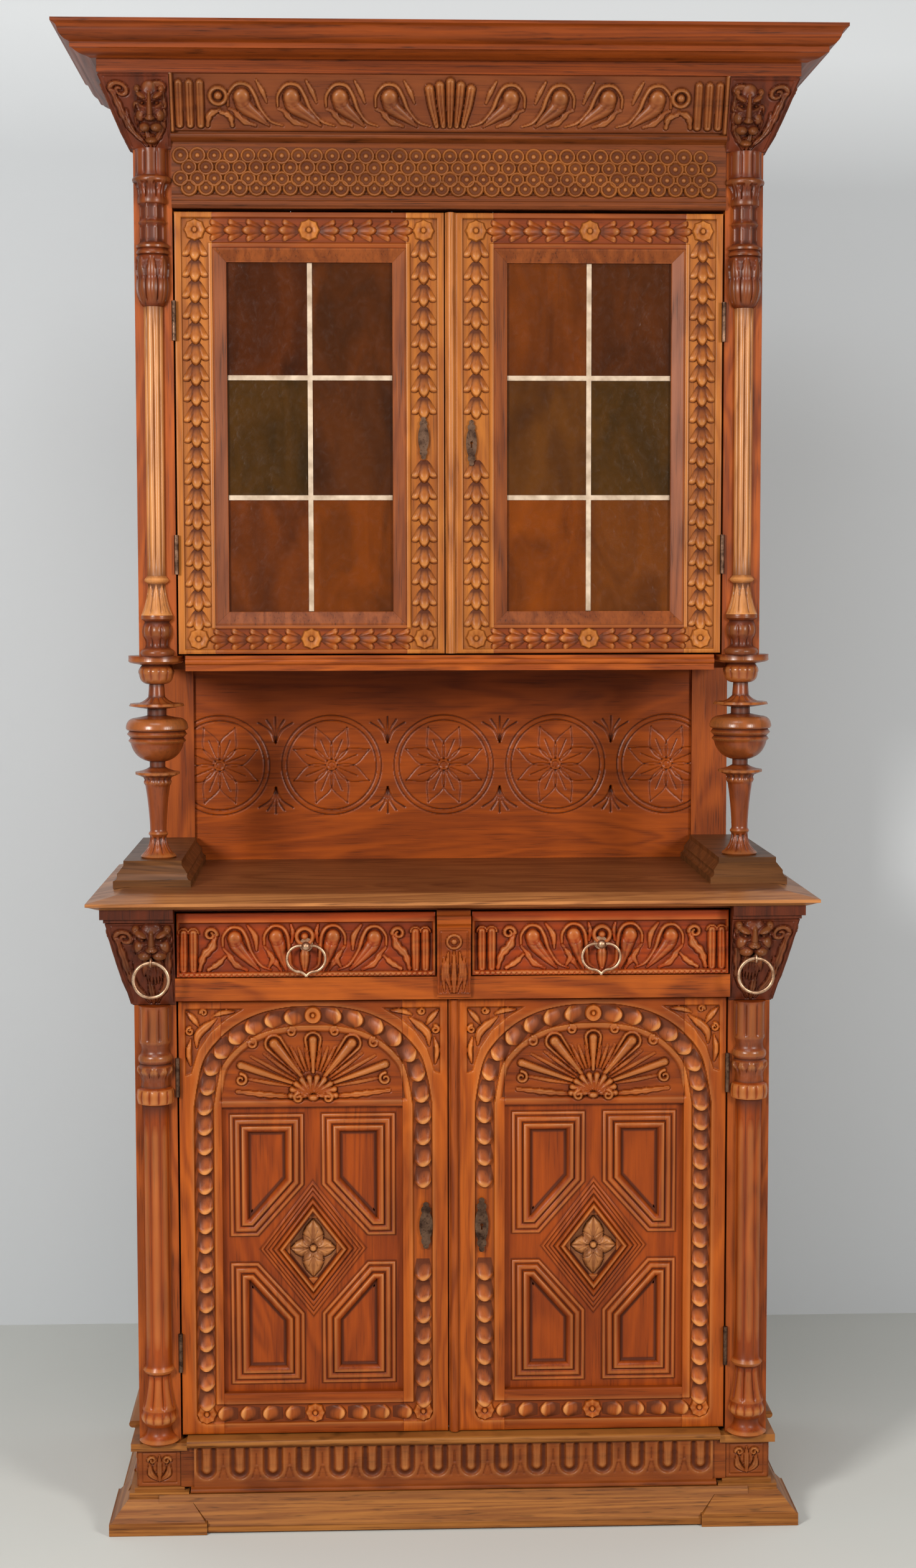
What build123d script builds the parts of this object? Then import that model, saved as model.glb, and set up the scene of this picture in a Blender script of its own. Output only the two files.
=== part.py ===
from build123d import *

import os
from math import atan2, degrees

# A carved oak court cupboard: a lower stage with two doors and two drawers, an open
# niche on two turned balusters, and a glazed upper stage under a wide cornice.
# Millimetres, +Z up, the front faces -Y, and the origin is on the floor at the centre.

# Overall size
total_height = 2440
total_depth = 550
rear_y = total_depth / 2

# The two stages: half widths over the posts, and the plane of the front posts
lower_half_width = 520
lower_front_y = -205
upper_half_width = 514
upper_front_y = -105
post_inner_x = 452
lower_post_depth = 68
upper_post_depth = 70
rear_post_depth = 28
rear_post_inner_x = 450
back_board_thickness = 12

# Heights
foot_top_z = 143
base_cap_z = 134
bottom_board_z = 150
lower_door_z = (152, 876)
drawer_rail_z = (880, 917)
drawer_z = (919, 1023)
lower_stage_top_z = 1034
counter_top_z = 1056
sole_rail_top_z = 1098
upper_bottom_z = 1411
upper_post_foot_z = 1436
upper_door_z = (1439, 2158)
gadroon_frieze_top_z = 2369
cornice_frame_top_z = 2389

# Overhangs beyond the posts
counter_overhang = 70
cornice_overhang = 117

# Doors
door_half_gap = 10
door_outer_x = 449
lower_door_y = (-203, -175)
upper_door_y = (-103, -77)
stile_joint = 0.2
lower_opening_x = (84, 380)
lower_opening_z = (220, 700)
upper_opening_x = (72, 388)
upper_opening_z = (1486, 2101)
bead_width = 22
glass_thickness = 3
came_width = 8
came_core = 1.6
came_x = 230
came_heights = (1696, 1892)

# Drawers
drawer_x = (30, 449)
drawer_front_y = (-222, -200)
drawer_box_depth = 400
drawer_side_thickness = 12
runner_top_z = 917

# Turned work
lower_column_x = 487
upper_column_x = 484
baluster_axis = (489, -70)
shelf_thickness = 18
lower_shelf_z = 500
upper_shelf_heights = (1687, 1883)

# Hinges: a knuckle stands in front of the gap between each door and its post
hinge_axis_x = 450.5
knuckle_radius = 3.8
pin_radius = 2
pin_clearance = 0.08
knuckle_length = 32
lower_hinge_heights = (260, 720)
upper_hinge_heights = (1570, 1950)

# Brass rings and drawer bails
ring_radius = 28
ring_wire = 2.8
ring_pivot = (487, -266, 950)
bail_wire = 2.4
bail_pivot = (239.5, -233, 971)

corner = (Align.MIN, Align.MIN, Align.MIN)
lower_hinge_y = lower_door_y[0] - 6.2
upper_hinge_y = upper_door_y[0] - 6.2


def board(x_range, y_range, z_range, mode=Mode.ADD):
    with Locations((x_range[0], y_range[0], z_range[0])):
        Box(
            x_range[1] - x_range[0],
            y_range[1] - y_range[0],
            z_range[1] - z_range[0],
            align=corner,
            mode=mode,
        )


def board_pair(x_range, y_range, z_range, mode=Mode.ADD):
    board(x_range, y_range, z_range, mode)
    board((-x_range[1], -x_range[0]), y_range, z_range, mode)


def outline_face(points):
    with BuildLine() as outline:
        Polyline(*points, close=True)
    make_face(outline.edges())


def moulding_run(half_width, front_y, draw_section, kerf=0.2):
    # One section carried round the front and both sides, then sawn at the two mitres
    with BuildLine() as path:
        Polyline(
            (half_width, rear_y),
            (half_width, front_y),
            (-half_width, front_y),
            (-half_width, rear_y),
        )
    with BuildSketch(Plane((half_width, rear_y, 0), x_dir=(1, 0, 0), z_dir=(0, -1, 0))) as section:
        draw_section()
    sweep(section.sketch, path=path.wire(), transition=Transition.RIGHT)
    for side in (-1, 1):
        with Locations(Location((side * half_width, front_y, total_height / 2), (0, 0, -45 * side))):
            Box(500, kerf, total_height + 10, mode=Mode.SUBTRACT)


def three_lengths(half_width, front_y, half_length, side_y, draw_section):
    # One section as a front length between the posts and a length down each side
    with BuildSketch(Plane((half_length, front_y, 0), x_dir=(0, -1, 0), z_dir=(-1, 0, 0))) as front:
        draw_section()
    extrude(front.sketch, amount=2 * half_length)
    with BuildSketch(Plane((half_width, side_y[1], 0), x_dir=(1, 0, 0), z_dir=(0, -1, 0))) as right:
        draw_section()
    extrude(right.sketch, amount=side_y[1] - side_y[0])
    with BuildSketch(Plane((-half_width, side_y[0], 0), x_dir=(-1, 0, 0), z_dir=(0, 1, 0))) as left:
        draw_section()
    extrude(left.sketch, amount=side_y[1] - side_y[0])


def turning(axis_x, axis_y, foot, steps, arc=360):
    # A turned piece. Each step is (radius, height, bow), where bow is how far the outline
    # swells beyond the straight line from the step before it, or hollows in when negative.
    # An arc of 180 leaves the front half, as for a split column glued to a post.
    with BuildSketch(Plane((axis_x, axis_y, 0), x_dir=(1, 0, 0), z_dir=(0, -1, 0))) as section:
        with BuildLine() as outline:
            here = foot
            Line((0, foot[1]), here)
            for radius, height, bow in steps:
                there = (radius, height)
                if bow:
                    run = Vector(*there) - Vector(*here)
                    outward = Vector(run.Y, -run.X).normalized()
                    middle = (Vector(*here) + Vector(*there)) / 2 + outward * bow
                    ThreePointArc(here, middle, there)
                else:
                    Line(here, there)
                here = there
            Line(here, (0, here[1]))
            Line((0, here[1]), (0, foot[1]))
        make_face()
    revolve(section.sketch, axis=Axis((axis_x, axis_y, 0), (0, 0, -1)), revolution_arc=arc)


def corner_console(half_width, front_y, post_depth, low, high):
    # A flared corbel that wraps the front and outer faces of a corner post.
    # low and high are (height, reach beyond the post).
    ends = []
    for height, reach in (low, high):
        with BuildSketch(Plane.XY.offset(height)) as outline:
            with Locations((post_inner_x, front_y - reach)):
                Rectangle(
                    half_width + reach - post_inner_x,
                    reach + post_depth,
                    align=(Align.MIN, Align.MIN),
                )
        ends.append(outline.sketch)
    loft(ends)


def stage_shelf(z_low, x_half, y_range, front_notch, rear_notch):
    # A full-width board, notched round the front and rear posts
    board((-x_half, x_half), y_range, (z_low, z_low + shelf_thickness))
    tall = (z_low - 1, z_low + shelf_thickness + 1)
    board_pair((front_notch[0], x_half + 1), (y_range[0] - 1, front_notch[1]), tall, Mode.SUBTRACT)
    board_pair((rear_notch[0], x_half + 1), (rear_notch[1], y_range[1] + 1), tall, Mode.SUBTRACT)


def door_frame(y_range, z_range, opening_x, opening_z, groove=None):
    # Two stiles run the full height, and two rails stand between them
    board((door_half_gap, opening_x[0] - stile_joint / 2), y_range, z_range)
    board((opening_x[1] + stile_joint / 2, door_outer_x), y_range, z_range)
    rail_x = (opening_x[0] + stile_joint / 2, opening_x[1] - stile_joint / 2)
    board(rail_x, y_range, (z_range[0], opening_z[0]))
    board(rail_x, y_range, (opening_z[1], z_range[1]))
    if groove:
        depth, groove_y = groove
        board(
            (opening_x[0] - depth, opening_x[1] + depth),
            groove_y,
            (opening_z[0] - depth, opening_z[1] + depth),
            Mode.SUBTRACT,
        )


def hinge_halves(axis_y, door_face_y, heights, on_door):
    # Each hinge has a lower half on the post, with the pin, and an upper half on the door
    for height in heights:
        start = height + knuckle_length + 0.3 if on_door else height
        with Locations((hinge_axis_x, axis_y, start)):
            Cylinder(knuckle_radius, knuckle_length, align=(Align.CENTER, Align.CENTER, Align.MIN))
        leaf_x = (door_outer_x, door_outer_x + 1.2) if on_door else (post_inner_x - 1.2, post_inner_x)
        board(leaf_x, (axis_y, door_face_y + 22), (start, start + knuckle_length))
        if on_door:
            with Locations((hinge_axis_x, axis_y, start)):
                Cylinder(
                    pin_radius + pin_clearance,
                    knuckle_length - 2,
                    align=(Align.CENTER, Align.CENTER, Align.MIN),
                    mode=Mode.SUBTRACT,
                )
        else:
            with Locations((hinge_axis_x, axis_y, start)):
                Cylinder(pin_radius, 2 * knuckle_length - 4, align=(Align.CENTER, Align.CENTER, Align.MIN))


def shield_plate(centre_x, centre_z, width, height, front_y, keyhole):
    # A long escutcheon with rounded lobes at its waist and ends
    with BuildSketch(Plane((centre_x, front_y, centre_z), x_dir=(1, 0, 0), z_dir=(0, -1, 0))) as plate:
        Ellipse(width / 2, height * 0.3)
        with Locations((0, height * 0.3), (0, -height * 0.3)):
            Circle(width * 0.36)
        with Locations((0, height * 0.4), (0, -height * 0.4)):
            Circle(width * 0.22)
        if keyhole:
            Circle(2.6, mode=Mode.SUBTRACT)
            with Locations((0, -4)):
                Rectangle(2.4, 8, mode=Mode.SUBTRACT)
    extrude(plate.sketch, amount=1.4)


# ---- Base -----------------------------------------------------------------------------

foot_centre_x = lower_half_width - 32.5
foot_centre_y = lower_front_y + 32.5
die_half = 35
foot_half = 80
foot_waist_half = 51

with BuildPart() as front_feet:
    with BuildSketch() as sole:
        with Locations((foot_centre_x, foot_centre_y)):
            Rectangle(2 * foot_half, 2 * foot_half)
    extrude(amount=20)
    with BuildSketch(Plane.XY.offset(20)) as flare:
        with Locations((foot_centre_x, foot_centre_y)):
            Rectangle(2 * foot_half - 5, 2 * foot_half - 5)
    flare_rise = 31
    extrude(amount=flare_rise, taper=degrees(atan2(foot_half - 2.5 - foot_waist_half, flare_rise)))
    for half, z_low, z_high in ((49, 51, 61), (41, 61, 67), (die_half, 67, 130), (46, 130, foot_top_z)):
        board(
            (foot_centre_x - half, foot_centre_x + half),
            (foot_centre_y - half, foot_centre_y + half),
            (z_low, z_high),
        )
    mirror(about=Plane.YZ)
front_feet.part.label = "front_feet"

base_half_length = foot_centre_x - die_half - 0.5
base_side_y = (foot_centre_y + die_half + 0.5, rear_y - rear_post_depth)


def base_board_section():
    # Plain band between the cap and the skirt, ending in a small ridge
    with BuildLine() as outline:
        Polyline((-15, 58), (10, 58), (14, 58))
        ThreePointArc((14, 58), (18, 62), (14, 66))
        Polyline((14, 66), (7, 68), (7, base_cap_z), (-15, base_cap_z), (-15, 58))
    make_face(outline.edges())


with BuildPart() as base_boards:
    three_lengths(lower_half_width, lower_front_y, base_half_length, base_side_y, base_board_section)
    # The band is cut round the waist and the cap of each corner block
    for reach, z_range in ((52, (50, 67.5)), (46.3, (129.7, 140))):
        board_pair(
            (foot_centre_x - reach, foot_centre_x + reach),
            (foot_centre_y - reach, foot_centre_y + reach),
            z_range,
            Mode.SUBTRACT,
        )
base_boards.part.label = "base_boards"


def skirt_section():
    outline_face([(18, 57.5), (41, 12), (43, 12), (43, 3), (22, 3), (-2, 57.5)])


with BuildPart() as base_skirts:
    three_lengths(
        lower_half_width,
        lower_front_y,
        foot_centre_x,
        (foot_centre_y, rear_y - rear_post_depth),
        skirt_section,
    )
    # Each end is cut to the outline of the foot beside it
    for reach, z_range in ((foot_half + 0.5, (0, 20.5)), (49.5, (51, 60))):
        board_pair(
            (foot_centre_x - reach, foot_centre_x + reach),
            (foot_centre_y - reach, foot_centre_y + reach),
            z_range,
            Mode.SUBTRACT,
        )
    for side in (-1, 1):
        with BuildSketch(Plane.XY.offset(20)) as flare_foot:
            with Locations((side * foot_centre_x, foot_centre_y)):
                Rectangle(2 * foot_half - 3, 2 * foot_half - 3)
        with BuildSketch(Plane.XY.offset(20 + flare_rise)) as flare_waist:
            with Locations((side * foot_centre_x, foot_centre_y)):
                Rectangle(2 * foot_waist_half + 2, 2 * foot_waist_half + 2)
        loft([flare_foot.sketch, flare_waist.sketch], mode=Mode.SUBTRACT)
base_skirts.part.label = "base_skirts"


def base_cap_section():
    # A torus over a small hollow
    with BuildLine() as outline:
        Line((-28, base_cap_z), (12, base_cap_z))
        ThreePointArc((12, base_cap_z), (14.5, base_cap_z + 3), (19, base_cap_z + 4))
        ThreePointArc((19, base_cap_z + 4), (25, base_cap_z + 10), (19, base_cap_z + 15.8))
        Polyline((19, base_cap_z + 15.8), (-28, base_cap_z + 15.8), (-28, base_cap_z))
    make_face(outline.edges())


with BuildPart() as base_cap:
    three_lengths(
        lower_half_width,
        lower_front_y,
        foot_centre_x - 46.5,
        (foot_centre_y + 46.5, rear_y - rear_post_depth),
        base_cap_section,
    )
    board_pair(
        (post_inner_x - 0.2, lower_half_width + 0.2),
        (lower_front_y - 1, lower_front_y + lower_post_depth + 0.2),
        (base_cap_z - 1, base_cap_z + 20),
        Mode.SUBTRACT,
    )
base_cap.part.label = "base_cap"

# ---- Posts, columns, sides and inner boards ------------------------------------------------

front_post_y = (lower_front_y, lower_front_y + lower_post_depth)
upper_post_y = (upper_front_y, upper_front_y + upper_post_depth)
rear_post_y = (rear_y - rear_post_depth, rear_y)

with BuildPart() as front_posts:
    board_pair((post_inner_x, lower_half_width), front_post_y, (foot_top_z, lower_stage_top_z))
    board_pair((post_inner_x, upper_half_width), upper_post_y, (upper_post_foot_z, gadroon_frieze_top_z))
front_posts.part.label = "front_posts"

with BuildPart() as rear_posts:
    # The lower pair runs down to the floor, and the upper pair stands on the counter
    board_pair((rear_post_inner_x, lower_half_width), rear_post_y, (0, lower_stage_top_z))
    board_pair((rear_post_inner_x, upper_half_width), rear_post_y, (counter_top_z, gadroon_frieze_top_z))
rear_posts.part.label = "rear_posts"

with BuildPart() as columns:
    turning(
        lower_column_x,
        lower_front_y,
        (30, foot_top_z),
        [
            (30, 150, 3),
            (24, 156, 0),
            (21, 170, -1.5),
            (27, 178, 0),
            (29, 190, 2),
            (27, 197, 0),
            (28, 200, 0),
            (19, 258, -1.5),
            (24, 262, 0),
            (24, 270, 2),
            (22, 274, 0),
            (22, 708, 0),
            (29, 711, 0),
            (29, 734, 2),
            (24, 738, 0),
            (24, 743, 0),
            (29, 762, -2),
            (29, 772, 1.5),
            (25, 776, 0),
            (27, 790, 2),
            (24, 794, 0),
            (24, 806, -1),
            (26, 812, 0),
            (26, 871.5, 0),
        ],
        180,
    )
    turning(
        upper_column_x,
        upper_front_y,
        (26, upper_post_foot_z),
        [
            (26, 1446, 2),
            (20, 1450, 0),
            (20, 1462, -1),
            (23, 1468, 0),
            (23, 1486, 2),
            (20, 1492, 0),
            (26, 1497, 0),
            (26, 1503, 0),
            (14, 1554, -2),
            (19, 1558, 0),
            (19, 1563, 1.5),
            (15, 1568, 0),
            (16, 2004, 0),
            (20, 2008, 0),
            (27, 2050, 4),
            (27, 2084, 2),
            (24, 2087, 0),
            (27, 2092, 1.5),
            (24, 2097, 0),
            (27, 2102, 1.5),
            (21, 2107, 0),
            (21, 2136, 0),
            (23, 2139, 0),
            (21, 2142, 0),
            (21, 2168, 0),
            (24, 2172, 1),
            (24, 2178, 0),
            (31, 2204, -3),
            (31, 2210, 1),
            (27, 2213, 0),
            (27, 2255.5, 0),
        ],
        180,
    )
    mirror(about=Plane.YZ)
columns.part.label = "columns"

# Each side is a pair of rails with a raised panel in their grooves
side_rail_depth = 20
side_groove = 8
panel_inset = 5
panel_thickness = 10
lower_side_x = (lower_half_width - side_rail_depth - 4, lower_half_width - 4)
upper_side_x = (upper_half_width - side_rail_depth - 2, upper_half_width - 2)
lower_side_y = (front_post_y[1], rear_post_y[0])
upper_side_y = (upper_post_y[1], rear_post_y[0])
side_frames = (
    (lower_side_x, lower_side_y, (bottom_board_z, 236), (946, lower_stage_top_z)),
    (upper_side_x, upper_side_y, (upper_post_foot_z, 1530), (2120, gadroon_frieze_top_z)),
)

with BuildPart() as side_rails:
    for x_range, y_range, low_rail, high_rail in side_frames:
        board_pair(x_range, y_range, low_rail)
        board_pair(x_range, y_range, high_rail)
        board_pair(
            (x_range[0] + panel_inset, x_range[0] + panel_inset + panel_thickness),
            (y_range[0] - 1, y_range[1] + 1),
            (low_rail[1] - side_groove, high_rail[0] + side_groove),
            Mode.SUBTRACT,
        )
side_rails.part.label = "side_rails"

with BuildPart() as side_panels:
    for x_range, y_range, low_rail, high_rail in side_frames:
        face_x = x_range[0] + panel_inset + panel_thickness
        board_pair(
            (x_range[0] + panel_inset, face_x),
            y_range,
            (low_rail[1] - side_groove, high_rail[0] + side_groove),
        )
        # The field is raised, with a bevel all round
        middle = (face_x, (y_range[0] + y_range[1]) / 2, (low_rail[1] + high_rail[0]) / 2)
        with BuildSketch(Plane(middle, x_dir=(0, 1, 0), z_dir=(1, 0, 0))) as field:
            Rectangle(y_range[1] - y_range[0] - 56, high_rail[0] - low_rail[1] - 56)
        extrude(field.sketch, amount=4, taper=60)
    mirror(about=Plane.YZ)
side_panels.part.label = "side_panels"

back_y = (rear_y - 20, rear_y - 20 + back_board_thickness)


def back_planks(z_range, count=5):
    # Butted planks between the rear posts
    width = 2 * rear_post_inner_x / count
    for index in range(count):
        x_low = -rear_post_inner_x + index * width
        board((x_low + 0.5, x_low + width - 0.5), back_y, z_range)


with BuildPart() as back_boards:
    back_planks((bottom_board_z, lower_stage_top_z))
    back_planks((upper_bottom_z, gadroon_frieze_top_z))
back_boards.part.label = "back_boards"

with BuildPart() as lower_bottom:
    stage_shelf(
        bottom_board_z,
        lower_side_x[0],
        (lower_door_y[1] + 1, back_y[0]),
        (post_inner_x, lower_front_y + lower_post_depth),
        (rear_post_inner_x, rear_y - rear_post_depth),
    )
lower_bottom.part.label = "lower_bottom"

with BuildPart() as shelves:
    stage_shelf(
        lower_shelf_z,
        lower_side_x[0],
        (-150, back_y[0]),
        (post_inner_x, lower_front_y + lower_post_depth),
        (rear_post_inner_x, rear_y - rear_post_depth),
    )
    for height in upper_shelf_heights:
        stage_shelf(
            height,
            upper_side_x[0],
            (-60, back_y[0]),
            (post_inner_x, upper_front_y + upper_post_depth),
            (rear_post_inner_x, rear_y - rear_post_depth),
        )
shelves.part.label = "shelves"

with BuildPart() as shelf_cleats:
    board_pair(
        (lower_side_x[0] - 18, lower_side_x[0]),
        (lower_side_y[0] + 10, lower_side_y[1] - 10),
        (lower_shelf_z - 20, lower_shelf_z),
    )
    for height in upper_shelf_heights:
        board_pair(
            (upper_side_x[0] - 16, upper_side_x[0]),
            (upper_side_y[0] + 10, upper_side_y[1] - 10),
            (height - 18, height),
        )
shelf_cleats.part.label = "shelf_cleats"

with BuildPart() as lower_front_rails:
    board(
        (-post_inner_x, post_inner_x),
        (drawer_front_y[0], lower_front_y + 40),
        drawer_rail_z,
    )
    board(
        (-post_inner_x, post_inner_x),
        (drawer_front_y[0] + 6, lower_front_y + 40),
        (drawer_z[1] + 3, lower_stage_top_z),
    )
lower_front_rails.part.label = "lower_front_rails"


def divider_section():
    # Seen from the side: a corbel that swells towards its head, with a square abacus
    with BuildLine() as outline:
        Polyline((222.2, 884), (228, 884))
        ThreePointArc((228, 884), (231, 940), (238, 990))
        Polyline((238, 990), (238, 1000), (236, 1002), (240, 1006), (240, 1018), (222.2, 1018))
        Line((222.2, 1018), (222.2, 884))
    make_face(outline.edges())


divider_half = 27.5

with BuildPart() as drawer_divider:
    with BuildSketch(Plane((divider_half, 0, 0), x_dir=(0, -1, 0), z_dir=(-1, 0, 0))) as corbel:
        divider_section()
    extrude(corbel.sketch, amount=2 * divider_half)
    board(
        (-divider_half, divider_half),
        (drawer_front_y[0] - 0.2, drawer_front_y[1]),
        (drawer_rail_z[1], drawer_z[1] + 3),
    )
drawer_divider.part.label = "drawer_divider"

with BuildPart() as drawer_runners:
    runner_y = (lower_front_y + 40, back_y[0])
    board((-45, 45), runner_y, (runner_top_z - 14, runner_top_z))
    board_pair((425, rear_post_inner_x), runner_y, (runner_top_z - 14, runner_top_z))
    board((-12, 12), (drawer_front_y[1] + 0.2, back_y[0]), (runner_top_z + 0.2, drawer_z[1]))
drawer_runners.part.label = "drawer_runners"

with BuildPart() as lower_consoles:
    corner_console(lower_half_width, lower_front_y, lower_post_depth, (872, 2), (1012, 40))
    # The moulded abacus under the counter
    for reach, z_range in ((44, (1012, 1018)), (49.5, (1018, lower_stage_top_z))):
        board(
            (post_inner_x, lower_half_width + reach),
            (lower_front_y - reach, lower_front_y + lower_post_depth),
            z_range,
        )
    board(
        (post_inner_x - 1, lower_half_width),
        (lower_front_y, lower_front_y + lower_post_depth + 1),
        (871, lower_stage_top_z + 1),
        Mode.SUBTRACT,
    )
    mirror(about=Plane.YZ)
lower_consoles.part.label = "lower_consoles"

console_slope = Plane(
    (lower_column_x, lower_front_y - 2, 872),
    x_dir=(1, 0, 0),
    z_dir=(0, -140, -38),
)

jaw_bore_y = -240

with BuildPart() as lion_masks:
    # Head, muzzle, jaw, cheeks and ears of a carved mask, cut to the slope of the console
    with Locations((lower_column_x, -238, 984)):
        Sphere(24)
    with Locations((lower_column_x, -248, 967)):
        Sphere(13)
    with Locations((lower_column_x, -240, 951)):
        Sphere(9)
    with Locations((lower_column_x - 12, -243, 966), (lower_column_x + 12, -243, 966)):
        Sphere(9)
    with Locations((lower_column_x - 21, -238, 1001), (lower_column_x + 21, -238, 1001)):
        Sphere(7)
    split(bisect_by=console_slope, keep=Keep.TOP)
    # The jaw is bored for the shank of the ring's eye
    with Locations(Location((lower_column_x, jaw_bore_y, ring_pivot[2]), (90, 0, 0))):
        Cylinder(2, 40, align=(Align.CENTER, Align.CENTER, Align.MIN), mode=Mode.SUBTRACT)
    mirror(about=Plane.YZ)
lion_masks.part.label = "lion_masks"

eye_radius = 6.2
eye_wire = 1.7

with BuildPart() as ring_eyes:
    with Locations(Location(ring_pivot, (0, 90, 0))):
        Torus(eye_radius, eye_wire)
    shank_length = jaw_bore_y - ring_pivot[1] - eye_radius
    with Locations(Location((ring_pivot[0], jaw_bore_y, ring_pivot[2]), (90, 0, 0))):
        Cylinder(eye_wire, shank_length, align=(Align.CENTER, Align.CENTER, Align.MIN))
    mirror(about=Plane.YZ)
ring_eyes.part.label = "ring_eyes"


def mask_ring(side):
    centre = (side * ring_pivot[0], ring_pivot[1], ring_pivot[2] - ring_radius)
    with Locations(Location(centre, (90, 0, 0))):
        Torus(ring_radius, ring_wire)


with BuildPart() as left_ring:
    mask_ring(-1)
left_ring.part.label = "left_ring"

with BuildPart() as right_ring:
    mask_ring(1)
right_ring.part.label = "right_ring"

# ---- Counter ---------------------------------------------------------------------------


def counter_edge_section():
    # A thin tip between a long sloping ogee above and a hollow below
    with BuildLine() as outline:
        Polyline((-40, lower_stage_top_z), (50, lower_stage_top_z))
        ThreePointArc((50, lower_stage_top_z), (57, 1036.5), (64, 1039.5))
        Polyline((64, 1039.5), (counter_overhang, 1041), (counter_overhang, 1046))
        ThreePointArc((counter_overhang, 1046), (52, 1049.5), (36, 1052.5))
        Bezier((36, 1052.5), (22, counter_top_z), (8, counter_top_z))
        Polyline((8, counter_top_z), (-40, counter_top_z), (-40, lower_stage_top_z))
    make_face(outline.edges())


with BuildPart() as counter_top:
    moulding_run(lower_half_width, lower_front_y, counter_edge_section, kerf=0.02)
    board(
        (-lower_half_width + 30, lower_half_width - 30),
        (lower_front_y + 30, rear_y),
        (lower_stage_top_z, counter_top_z),
    )
counter_top.part.label = "counter_top"

# ---- Drawers ---------------------------------------------------------------------------

drawer_side_z = (runner_top_z + 0.5, 1008)
drawer_rear_y = drawer_front_y[1] + drawer_box_depth

with BuildPart() as right_drawer_front:
    board(drawer_x, drawer_front_y, drawer_z)
    # A flat field sunk between the top and bottom fillets
    board(
        (drawer_x[0] + 8, drawer_x[1] - 8),
        (drawer_front_y[0] - 1, drawer_front_y[0] + 3),
        (drawer_z[0] + 7, drawer_z[1] - 14),
        Mode.SUBTRACT,
    )
right_drawer_front.part.label = "right_drawer_front"

with BuildPart() as right_drawer_box:
    side_low = drawer_x[0] + 3
    side_high = drawer_x[1] - 6
    for x_low in (side_low, side_high - drawer_side_thickness):
        board(
            (x_low, x_low + drawer_side_thickness),
            (drawer_front_y[1], drawer_rear_y),
            drawer_side_z,
        )
    inner_x = (side_low + drawer_side_thickness + 0.1, side_high - drawer_side_thickness - 0.1)
    board(inner_x, (drawer_rear_y - 12, drawer_rear_y), (drawer_side_z[0] + 8, drawer_side_z[1] - 8))
    board(inner_x, (drawer_front_y[1], drawer_rear_y - 12.1), (drawer_side_z[0] + 8, drawer_side_z[0] + 15))
right_drawer_box.part.label = "right_drawer_box"

with BuildPart() as right_drawer_knob:
    # A turned brass boss on a small rose, with a neck that carries the bail
    field_y = drawer_front_y[0] + 3
    with Locations(Location((bail_pivot[0], field_y - 1, bail_pivot[2]), (90, 0, 0))):
        Cylinder(11, 2)
    neck_length = field_y - 2 - bail_pivot[1] + 6
    neck_middle = (bail_pivot[0], field_y - 2 - neck_length / 2, bail_pivot[2])
    with Locations(Location(neck_middle, (90, 0, 0))):
        Cylinder(4.6, neck_length)
    with Locations((bail_pivot[0], bail_pivot[1] - 6, bail_pivot[2])):
        Sphere(7.5)
    # The eye that the bail passes through
    with Locations(Location(bail_pivot, (0, 90, 0))):
        Cylinder(bail_wire + 0.9, 40, mode=Mode.SUBTRACT)
right_drawer_knob.part.label = "right_drawer_knob"

with BuildPart() as right_drawer_bail:
    # An oval drop with a pointed toe, hung from the middle of its top bar
    bail_x, bail_y, bail_z = bail_pivot
    with BuildLine() as bail_path:
        top = (bail_x, bail_y, bail_z)
        shoulder = (bail_x + 12, bail_y, bail_z)
        hip = (bail_x + 14, bail_y, bail_z - 42)
        Line(top, shoulder)
        ThreePointArc(shoulder, (bail_x + 31, bail_y, bail_z - 20), hip)
        ThreePointArc(hip, (bail_x + 6, bail_y, bail_z - 44), (bail_x, bail_y, bail_z - 50))
        mirror(about=Plane((bail_x, 0, 0), z_dir=(1, 0, 0)))
    with BuildSketch(Plane(top, x_dir=(0, 1, 0), z_dir=(1, 0, 0))) as bail_wire_section:
        Circle(bail_wire)
    sweep(path=bail_path.wire(), transition=Transition.ROUND)
right_drawer_bail.part.label = "right_drawer_bail"

with BuildPart() as left_drawer_front:
    mirror(right_drawer_front.part, about=Plane.YZ)
left_drawer_front.part.label = "left_drawer_front"

with BuildPart() as left_drawer_box:
    mirror(right_drawer_box.part, about=Plane.YZ)
left_drawer_box.part.label = "left_drawer_box"

with BuildPart() as left_drawer_knob:
    mirror(right_drawer_knob.part, about=Plane.YZ)
left_drawer_knob.part.label = "left_drawer_knob"

with BuildPart() as left_drawer_bail:
    mirror(right_drawer_bail.part, about=Plane.YZ)
left_drawer_bail.part.label = "left_drawer_bail"

# ---- Lower doors -----------------------------------------------------------------------

panel_groove = 6
panel_y = (-190, -180)
panel_centre_x = (lower_opening_x[0] + lower_opening_x[1]) / 2
panel_centre_z = (lower_opening_z[0] + lower_opening_z[1]) / 2

with BuildPart() as lower_right_door_frame:
    door_frame(lower_door_y, lower_door_z, lower_opening_x, lower_opening_z, (panel_groove, panel_y))
lower_right_door_frame.part.label = "lower_right_door_frame"


corner_frame_corners = ((24, 110), (24, 226), (131, 226), (131, 19), (92, 19))
lozenge_half = (58, 75)
lozenge_sink = 4
panel_face = Plane((panel_centre_x, panel_y[0], panel_centre_z), x_dir=(1, 0, 0), z_dir=(0, -1, 0))


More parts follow.
